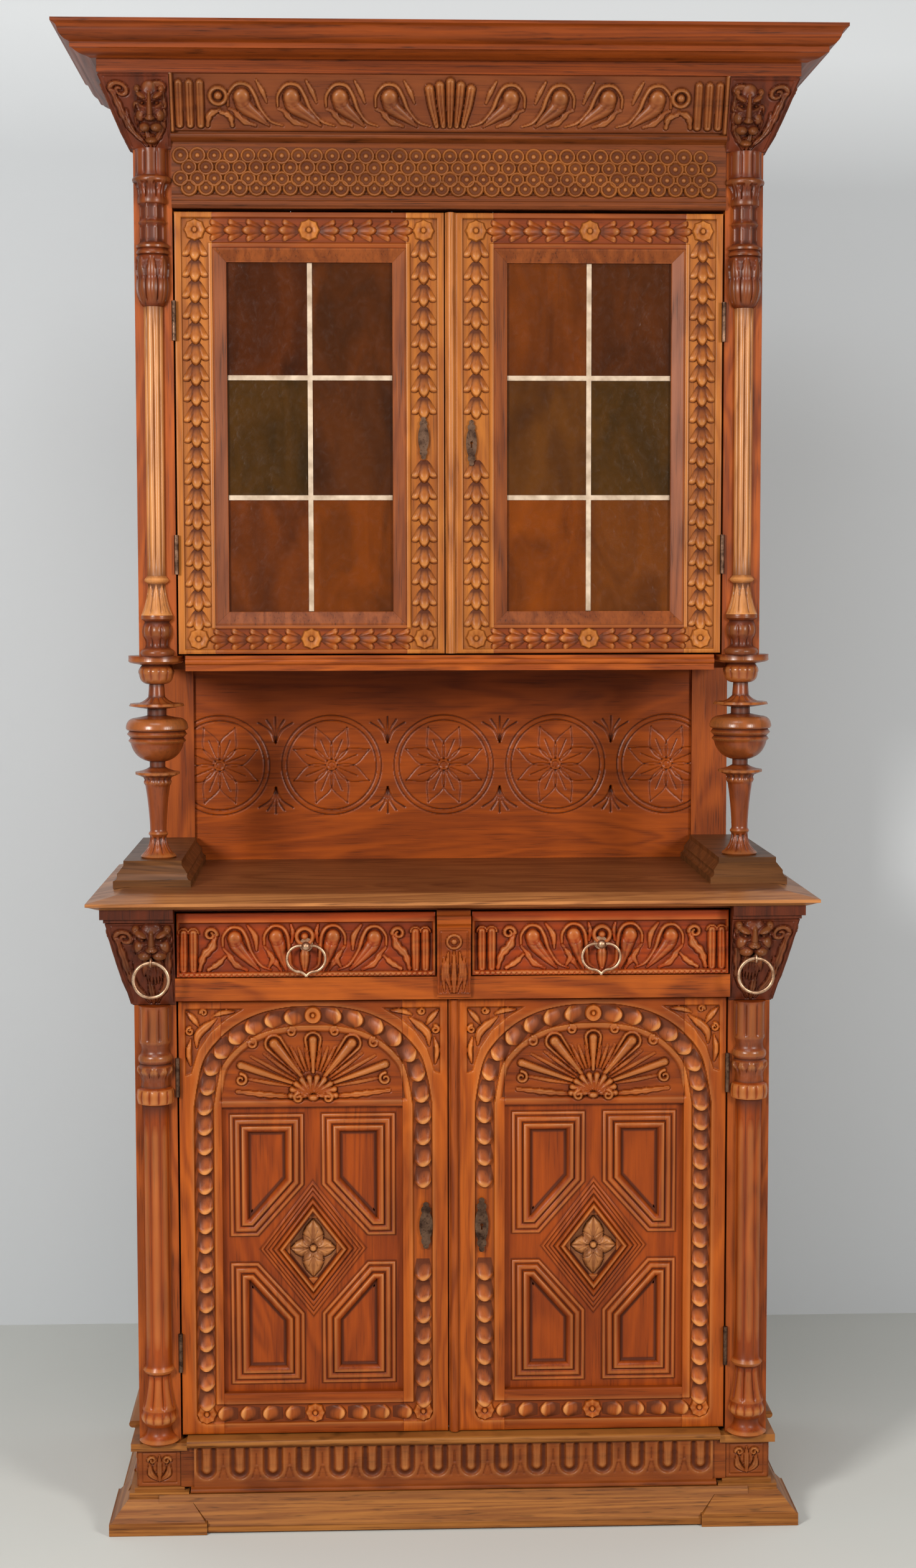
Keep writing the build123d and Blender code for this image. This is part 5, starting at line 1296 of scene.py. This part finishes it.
def carveDie(relief, d):
    border = box(*d["border"])
    relief.groove([*border, border[0]], 1.6, 1.4)
    for side in (1, -1):
        turn = 0 if side > 0 else 180
        relief.leaves(d["outerLeaf"], side)
        scroll = spiral((side * 12, 111), (6.5, 2), (turn, turn + side * 380))
        relief.stroke(scroll, [2.4, 2.2, 1.8], 3.0, 0, 1.4)
        relief.leaves(d["innerLeaf"], side)
    relief.stroke([(0, 77), (0, 119)], [2, 4.6, 4.0, 1], [1.5, 3.4, 3, 1], 0, 1.6, 1.4)


def carveDivider(relief, d):
    relief.groove([(-22, 892), (-22, 994), (22, 994), (22, 892)], 1.6, 1.6)
    relief.ring((0, 976), 11, 2.4, 2.4, 0, 1.4)
    relief.dome((0, 976), (5, 5), 3.2, 0, 0, 1.4)
    for side in (1, -1):
        relief.leaves(d["leaves"], side)
    relief.stroke([(0, 893), (0, 960)], [2.5, 5, 3.4, 1.5], [2.5, 4, 3, 1.5], 0, 1.8, 1.6)


def addSmallCarving(name, key, carve, place, wood, side=1):
    d = smallCarvings[key]
    relief = Relief(gridLine((-d["half"], d["half"], 1.3)), gridLine((*d["z"], 1.3)))
    carve(relief, d)
    relief.h = np.maximum(relief.h, -smallCarvings["deepest"]) + smallCarvings["proud"]
    addCarving(name, relief, place, smallCarvings["thick"], wood, "case", side)


def addDies(side, word):
    (x, y), reach = smallCarvings["die"]["axis"], smallCarvings["die"]["reach"]

    def frontFace(u, v, h):
        return side * (x + u), y - reach - h, v

    def outerFace(u, v, h):
        return side * (x + reach + h), y + u, v

    for label, place in (("Front", frontFace), ("Outer", outerFace)):
        addSmallCarving("die" + label + word, "die", carveDie, place, "baseCarved", side)


def bowed(u, v, h):
    d = smallCarvings["divider"]
    return u, -d["behind"] - np.interp(v, *zip(*d["profile"])) - h, v


for side, word in sides:
    addDies(side, word)
addSmallCarving("dividerLeaf", "divider", carveDivider, bowed, "doorAcross")
print("dies and divider carved")


# corner consoles and masks

consoleFaces = {
    "lower": {"inner": 451.5, "half": 520, "front": -205, "depth": 68, "low": (874, 2.5), "high": (1011, 39.7),
              "maskAt": (487, 978), "long": 0.88, "size": 1.66, "reach": 33},
    "upper": {"inner": 451.9, "half": 514, "front": -105, "depth": 70, "low": (2258, 1.9), "high": (2367, 49.1),
              "maskAt": (483, 2314), "long": 1.62, "size": 1.28, "reach": 29},
}


def carveConsole(relief, width, length):
    # a leaf scroll up the outer edge, a smaller one inside, and ribs at the foot
    border = box(3.5, 3, width - 3.5, length - 4)
    relief.groove([border[0], border[3], border[2], border[1]], 1.5, 1.4)
    m = width / 2
    for side, reach in ((1, 13), (-1, 9)):
        turn, centre = 0 if side > 0 else 180, (m + side * (m - reach - 7), length - reach - 12)
        scroll = spiral(centre, (reach, 3), (turn, turn + side * 470))
        relief.stroke(scroll, [3.6, 3.2, 2.4], 4.2, 0, 1.8, 0.6)
        stem = [(8, 5), (m - 15, length * 0.30), (m - 9, length - reach - 14)]
        leaf = [(5, 6), (m * 0.62, length * 0.26), (m * 0.55, length * 0.52)]
        rise = [2.5, 4.6, 4.2, 3.6]
        relief.leaves([(stem, [2.5, 6.5, 6, 3.5], rise, 1.8, 1.6, 0.5, 5)], side, m, 0, 10)
        relief.leaves([(leaf, [2, 5.2, 2], [2, 3.8, 1.5], 1.6, 1.2, 0.5, 4)], side, m)
    relief.stroke([(m, 4), (m, length * 0.3)], [3, 6, 3], [3, 4.4, 2], 0, 1.8, 1.6)
    relief.h = np.maximum(relief.h, -2.2) + 2.4


def carveBeard(relief):
    # seen through the ring of the lower masks
    for tuft in range(-3, 4):
        root, bend = (35.5 + tuft * 3.2, 78), (35.5 + tuft * 5.2, 58)
        tip = (35.5 + tuft * 5.6, 36 + tuft * tuft * 1.6)
        relief.stroke(curved([root, bend, tip], 6), [3.4, 4.6, 3.4, 1.2], [6, 7, 5, 2.5], 2.4, 1.2, 1.0)


def carveMask(relief, long, size):
    # a lion's face in its mane: brows, bridge, muzzle and jaw
    def at(u, v):
        return u * size, v * long * size

    def mound(u, v, wide, tall, rise, turn=0, moat=1.2, dimple=0.0):
        relief.dome(at(u, v), (wide * size, tall * size), rise, turn, 0, moat, dimple)

    for turn in range(-70, 251, 32):
        (a, b), (c, d) = toward(turn), toward(turn + 18)
        lock = curved([at(11 * a, 13 * b + 2), at(17 * c, 19 * d + 1), at(19.5 * a, 23 * b)], 6)
        relief.stroke(lock, [5.5 * size, 5.5 * size, 4 * size, 2], [13, 11, 8, 3], 0, 1.2, 2.2)
    mound(0, 4, 17, 20 * long, 17, 0, 1.6)
    for side in (1, -1):
        mound(side * 15, 17, 4.4, 5, 14.5, 0, 1.2, 3.0)  # ear
        mound(side * 11, -3, 7.5, 9, 18, 0, 0.8)  # cheek
        mound(side * 9.5, 12.5, 8.5, 3.8, 22, side * 26, 1.6)  # brow
        relief.groove([at(side * 6.5, 6.5), at(side * 11.5, 8)], 3.6 * size, 6)
        mound(side * 9, 7, 2.4, 1.8, 16, 0, 0.4)  # eye
    bridge = [at(0, 15), at(0, 5), at(0, -3)]
    relief.stroke(bridge, [3.6 * size, 5.2 * size, 6.8 * size], [19, 22.5, 24.5], 0, 0.6, 0, 0.7)
    mound(0, -4, 8.2, 4.2, 26, 0, 1.4)
    for side in (1, -1):
        mound(side * 6.6, -11.5, 8.2, 6.8, 24, side * -18)
    relief.groove([at(-12, -17.5), at(0, -16.5), at(12, -17.5)], 2.6, 8)
    mound(0, -22.5, 8, 4.6, 16)
    relief.h = np.where(relief.h < 2.2, -1.5, relief.h)


def addConsole(key, side, word):
    d = consoleFaces[key]
    (z0, t0), (z1, t1) = d["low"], d["high"]
    length, middle = math.hypot(z1 - z0, t1 - t0), (t0 + t1) / 2
    lean, climb = (t1 - t0) / length, (z1 - z0) / length
    width, depth = d["half"] + middle - d["inner"], d["depth"] + middle

    def level(v, h):
        return t0 + lean * v + h * climb, z0 + climb * v - h * lean

    def frontFace(u, v, h):
        reach, z = level(v, h)
        grow = (d["half"] + t0 + lean * v - d["inner"]) / width
        return side * (d["inner"] + u * grow), d["front"] - reach, z

    def outerFace(u, v, h):
        reach, z = level(v, h)
        grow = (d["depth"] + t0 + lean * v) / depth
        return side * (d["half"] + reach), d["front"] - t0 - lean * v + u * grow, z

    def maskFace(u, v, h):
        reach, z = level((d["maskAt"][1] - z0) / climb + v, h)
        return side * (d["maskAt"][0] + u), d["front"] - reach, z

    for label, place, wide in (("Front", frontFace, width), ("Outer", outerFace, depth)):
        relief = Relief(gridLine((0, wide, 1.4)), gridLine((0, length, 1.4)))
        carveConsole(relief, wide, length)
        if (key, label) == ("lower", "Front"):
            carveBeard(relief)
        addCarving(key + "Console" + label + word, relief, place, 2.0, "mask", "case", side)
    tall = 25 * d["long"] * d["size"]
    relief = Relief(gridLine((-d["reach"], d["reach"], 1.1)), gridLine((-tall, tall, 1.1)))
    carveMask(relief, d["long"], d["size"])
    return addCarving(key + "Mask" + word, relief, maskFace, 3.0, "mask", "case", side)


for key, node in (("lower", "lion_masks"), ("upper", "console_masks")):
    masks = [addConsole(key, side, word) for side, word in sides]
    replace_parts(masks[0], node)
print("consoles and masks carved")


# turned work

def turnedProfile(steps):
    # steps are (radius, height, bow) from the foot up; the result is heights and radii
    profile = [(steps[0][1], steps[0][0])]
    for (r0, z0, _), (r1, z1, bow) in zip(steps[:-1], steps[1:]):
        run = math.hypot(r1 - r0, z1 - z0)
        count = max(1, min(26, round(run / 3.2)))
        for k in range(1, count + 1):
            t = k / count
            bulge = bow * 4 * t * (1 - t)
            out, up = (z1 - z0) / max(run, 1e-9), -(r1 - r0) / max(run, 1e-9)
            profile.append((z0 + (z1 - z0) * t + up * bulge, r0 + (r1 - r0) * t + out * bulge))
    z, r = np.array(profile).T
    return z, np.maximum(r, 1.0)


def lobeCut(kind, phase, t):
    # how deep a reed, flute or leaf is cut, across (phase) and up (t) its stretch
    if kind == "reed":
        return 1 - rounded(phase) ** 0.5
    if kind == "twin":
        return 1 - rounded(1 - phase) ** 0.5
    if kind == "flute":
        return rounded(phase / 0.8) ** 0.5
    wide = np.clip(1 - t**2.2, 0, 1) ** 0.5
    rib = 0.35 * (phase / np.maximum(wide, 0.05)) ** 2 + 0.3 * np.exp(-((phase / 0.12) ** 2))
    return np.where(phase < wide, rib, 1.0)


def addTurned(name, d, side, segments=96):
    z, r = turnedProfile(d["steps"])
    turn = np.linspace(0, 2 * math.pi, segments, endpoint=False) - math.pi / 2
    radius = np.repeat(r[:, None], segments, 1)
    around = np.convolve(np.pad(r, 3, mode="edge"), np.ones(7) / 7, "valid")
    # painted highlight on rings that stand out, painted shade in hollows and in the cut of each lobe
    carve = 0.55 + np.clip((r - around) / 6, -0.45, 0.2)[:, None] + np.zeros(radius.shape)
    for low, high, count, depth, kind in d["lobes"]:
        t = np.clip((z - low) / (high - low), 0, 1)[:, None]
        window = ((z >= low) & (z <= high))[:, None] * np.clip(np.minimum(t, 1 - t) * 12, 0, 1)
        phase = np.abs(((turn + math.pi / 2) * count / (2 * math.pi) + 0.5) % 1 - 0.5)[None, :] * 2
        cut = lobeCut(kind, phase, t)
        radius -= depth * cut * window
        carve -= 0.45 * (cut - 0.35) * window
    x = side * (d["axis"][0] + radius * np.cos(turn)[None, :])
    y = d["axis"][1] + radius * np.sin(turn)[None, :]
    index = np.arange(radius.size).reshape(radius.shape)
    nextOne = np.roll(index, -1, 1)
    corners = (index[:-1], nextOne[:-1], nextOne[1:], index[1:])
    faces = np.column_stack([corner.ravel() for corner in corners]).tolist()
    faces += [index[0][::-1].tolist(), index[-1].tolist()]
    points = np.column_stack([x.ravel(), y.ravel(), np.repeat(z, segments)])
    mesh = makeMesh(name, points, faces, carve, side < 0)
    piece = addPiece(name, mesh, [oak[wood] for wood in d["woods"]], "case")
    shaded = np.zeros(len(faces), int)
    for low, high in d["darkRuns"]:
        rows = (z[:-1] >= low) & (z[1:] <= high)
        shaded[:rows.size * segments][np.repeat(rows, segments)] = 1
    mesh.polygons.foreach_set("material_index", shaded.tolist())
    return piece


lowerColumn = {
    "axis": (487, -205), "woods": ("turnedLower", "turnedDark"), "darkRuns": ((738, 900),),
    "steps": [
        (30, 144, 0), (30, 150, 3), (24, 156, 0), (21, 170, -1.5), (27, 178, 0), (29, 190, 2), (27, 197, 0),
        (28, 200, 0), (19, 258, -1.5), (24, 262, 0), (24, 270, 2), (22, 274, 0), (22, 708, 0), (29, 711, 0),
        (29, 734, 2), (24, 738, 0), (24, 743, 0), (29, 762, -2), (29, 772, 1.5), (25, 776, 0), (27, 790, 2),
        (24, 794, 0), (24, 806, -1), (26, 812, 0), (26, 871.5, 0)],
    "lobes": [(202, 258, 8, 3.0, "reed"), (276, 706, 8, 0.9, "reed"), (745, 771, 10, 3.0, "leaf"),
              (813, 871, 8, 3.0, "reed"), (179, 196, 12, 1.4, "reed"), (712, 733, 12, 1.6, "reed")],
}
upperColumn = {
    "axis": (484, -105), "woods": ("turnedUpper", "capital"), "darkRuns": ((1400, 1503), (2004, 2300)),
    "steps": [
        (26, 1436, 0), (26, 1446, 2), (20, 1450, 0), (20, 1462, -1), (23, 1468, 0), (23, 1486, 2), (20, 1492, 0),
        (26, 1497, 0), (26, 1503, 0), (14, 1554, -2), (19, 1558, 0), (19, 1563, 1.5), (15, 1568, 0), (16, 2004, 0),
        (20, 2008, 0), (27, 2050, 4), (27, 2084, 2), (24, 2087, 0), (27, 2092, 1.5), (24, 2097, 0),
        (27, 2102, 1.5), (21, 2107, 0), (21, 2136, 0), (23, 2139, 0), (21, 2142, 0), (21, 2168, 0), (24, 2172, 1),
        (24, 2178, 0), (31, 2204, -3), (31, 2210, 1), (27, 2213, 0), (27, 2255.5, 0)],
    "lobes": [(1450, 1466, 8, 3.0, "reed"), (1469, 1486, 8, 2.6, "reed"), (1504, 1553, 8, 2.2, "leaf"),
              (1569, 2003, 8, 3.4, "twin"), (2009, 2084, 8, 3.4, "leaf"), (2108, 2135, 8, 2.4, "flute"),
              (2143, 2167, 8, 2.4, "flute"), (2179, 2204, 8, 4.0, "leaf"), (2214, 2255, 8, 2.4, "reed")],
}
baluster = {
    "axis": (489, -70), "woods": ("turnedDark", "turnedDark"), "darkRuns": (),
    "steps": [
        (28, 1098, 0), (28, 1103, 2), (14, 1134, -4), (16.5, 1138, 0), (13.5, 1143, 0), (20.5, 1219, -1.2),
        (22, 1221, 0), (22, 1229, 1.5), (24, 1233, 0), (37, 1238, 0), (37, 1242, 0), (13, 1250, -1.5),
        (13, 1259, 0), (44, 1290, 7), (48, 1294, 0), (44, 1299, 0), (50, 1305, 0), (46, 1311, 0), (51.5, 1319, 3),
        (36, 1332, 4), (16, 1336, 0), (16, 1347, 0), (30, 1349, 0), (46, 1352, 0), (44, 1356, 0), (14, 1367, -4),
        (12.5, 1388, 0), (28.5, 1404, 5), (28.5, 1414, 1.5), (24, 1420, 0), (44, 1424, 0), (46, 1430, 1.5),
        (46, 1435.7, 0)],
    "lobes": [(1104, 1133, 8, 2.4, "leaf"), (1222, 1241, 14, 2.6, "reed"), (1353, 1366, 12, 1.4, "reed"),
              (1395, 1416, 12, 1.2, "reed")],
}
for side, word in sides:
    column = addTurned("lowerColumn" + word, lowerColumn, side)
    addTurned("upperColumn" + word, upperColumn, side)
    post = addTurned("baluster" + word, baluster, side)
    if side > 0:
        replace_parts(column, "columns")
        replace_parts(post, "balusters")
print("turned work done")


# finishes for the plain joinery

nodeFinish = {
    "plainUp": ("front_posts", "rear_posts", "lower_astragal"),
    "astragal": ("upper_astragal",),
    "sole": ("sole_rails",),
    "sidePanel": ("lower_right_door_panel", "lower_left_door_panel", "side_panels"),
    "plainAcross": ("lower_front_rails", "drawer_divider", "niche_panel", "upper_bottom", "right_drawer_front",
                    "left_drawer_front"),
    "sideDeep": ("side_rails", "shelf_cleats", "drawer_runners"),
    "base": ("base_skirts", "base_cap", "front_feet"),
    "baseBoard": ("base_boards",),
    "cornice": ("cornice", "cornice_frame", "cornice_top"),
    "mould": ("upper_right_glazing_beads", "upper_left_glazing_beads"),
    "friezePlain": ("scale_frieze",),
    "counter": ("counter_top",),
    "console": ("lower_consoles", "upper_consoles", "lion_masks", "console_masks"),
    "back": ("back_boards",),
    "inside": ("lower_bottom", "shelves", "right_drawer_box", "left_drawer_box"),
    "brass": ("ring_eyes", "left_ring", "right_ring", "right_drawer_knob", "left_drawer_knob",
              "right_drawer_bail", "left_drawer_bail"),
    "iron": ("case_hinges", "lower_right_door_fittings", "lower_left_door_fittings", "upper_right_door_fittings",
             "upper_left_door_fittings"),
    "lead": ("upper_right_cames", "upper_left_cames"),
}
finishes = {**oak, "brass": brass, "iron": iron, "lead": lead}
finishOf = {name: key for key, names in nodeFinish.items() for name in names}
for name, node in nodes.items():
    materials, finish = node.data.materials, finishes[finishOf.get(name, "plainUp")]
    if not materials:
        materials.append(finish)
    for k in range(len(materials)):
        materials[k] = finish
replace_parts(nichePiece, "niche_panel")
print("finishes laid on")


# room, lamps and camera

stage = {
    "reach": 6, "front": -7, "back": 7, "wallY": 0.9, "wallTop": 6, "z": -0.0006, "roughness": 0.8,
    "floor": (214, 216, 212), "backdrop": (214, 218, 222), "shadeStep": 6,
    "sky": (0.90, 0.92, 0.94, 1), "skyStrength": 0.20,
    "lens": 55.66, "sensor": 36, "nearest": 0.05, "camera": (-0.145, -4.125, 1.557),
    "down": 4.765, "roll": 0.0016, "left": -2.242,
}
lamps = {
    "lampLeft": {"place": (-2.2, -3.4, 2.3), "aim": (0, 0, 1.3), "size": (0.8, 0.8), "power": 120,
                 "colour": (1.0, 0.97, 0.92)},
    "lampRight": {"place": (2.3, -3.3, 2.1), "aim": (0, 0, 1.2), "size": (0.8, 0.8), "power": 82,
                  "colour": (1.0, 0.96, 0.90)},
    "lampHigh": {"place": (-0.6, -2.4, 4.2), "aim": (0, 0, 1.0), "size": (1.8, 1.0), "power": 34,
                 "colour": (1, 1, 1)},
}


def addFlat(name, corners, seeThrough=False):
    mesh = bpy.data.meshes.new(name)
    mesh.from_pydata(corners, [], [(0, 1, 2, 3)])
    material, tree, place = newMaterial(name)
    colour, shader = stage[name], tree.nodes["Principled BSDF"]
    cloud = noise(tree, place, 1.2, 2.0)
    shade = mixColour(tree, cloud, paint(*colour), paint(*[part - stage["shadeStep"] for part in colour]))
    setInputs(tree, shader, {"Base Color": shade, "Roughness": stage["roughness"], "Specular IOR Level": 0.0})
    if seeThrough:  # nothing from behind, so the back of the cupboard can be looked at
        behind = addNode(tree, "ShaderNodeNewGeometry").outputs["Backfacing"]
        clear = addNode(tree, "ShaderNodeBsdfTransparent").outputs[0]
        blend = addNode(tree, "ShaderNodeMixShader", {0: behind, 1: shader.outputs[0], 2: clear}).outputs[0]
        setInputs(tree, tree.nodes["Material Output"], {"Surface": blend})
    mesh.materials.append(material)
    piece = bpy.data.objects.new(name, mesh)
    scene.collection.objects.link(piece)


def addLamp(name, place, aim, size, power, colour):
    light = bpy.data.lights.new(name, "AREA")
    light.shape = "RECTANGLE"
    light.size, light.size_y = size
    light.energy = power
    light.color = colour
    lamp = bpy.data.objects.new(name, light)
    lamp.location = place
    x, y, z = np.array(aim, float) - np.array(place, float)
    lamp.rotation_euler = (math.atan2(math.hypot(x, y), -z), 0, math.atan2(-x, y))
    scene.collection.objects.link(lamp)


x, z, wallY, wallTop = stage["reach"], stage["z"], stage["wallY"], stage["wallTop"]
near, far = stage["front"], stage["back"]
addFlat("floor", [(-x, near, z), (x, near, z), (x, far, z), (-x, far, z)])
addFlat("backdrop", [(-x, wallY, z), (x, wallY, z), (x, wallY, wallTop), (-x, wallY, wallTop)], True)
for name, lamp in lamps.items():
    addLamp(name, **lamp)
world = bpy.data.worlds.new("room")
world.use_nodes = True
setInputs(world.node_tree, world.node_tree.nodes["Background"], {0: stage["sky"], 1: stage["skyStrength"]})
scene.world = world
scene.view_settings.view_transform = "Standard"

lens = bpy.data.cameras.new("camera")
lens.lens = stage["lens"]
lens.sensor_width = stage["sensor"]
lens.clip_start = stage["nearest"]
camera = bpy.data.objects.new("camera", lens)
camera.location = stage["camera"]
camera.rotation_euler = (math.radians(90 - stage["down"]), stage["roll"], math.radians(stage["left"]))
scene.collection.objects.link(camera)
scene.camera = camera

print("scene ready")
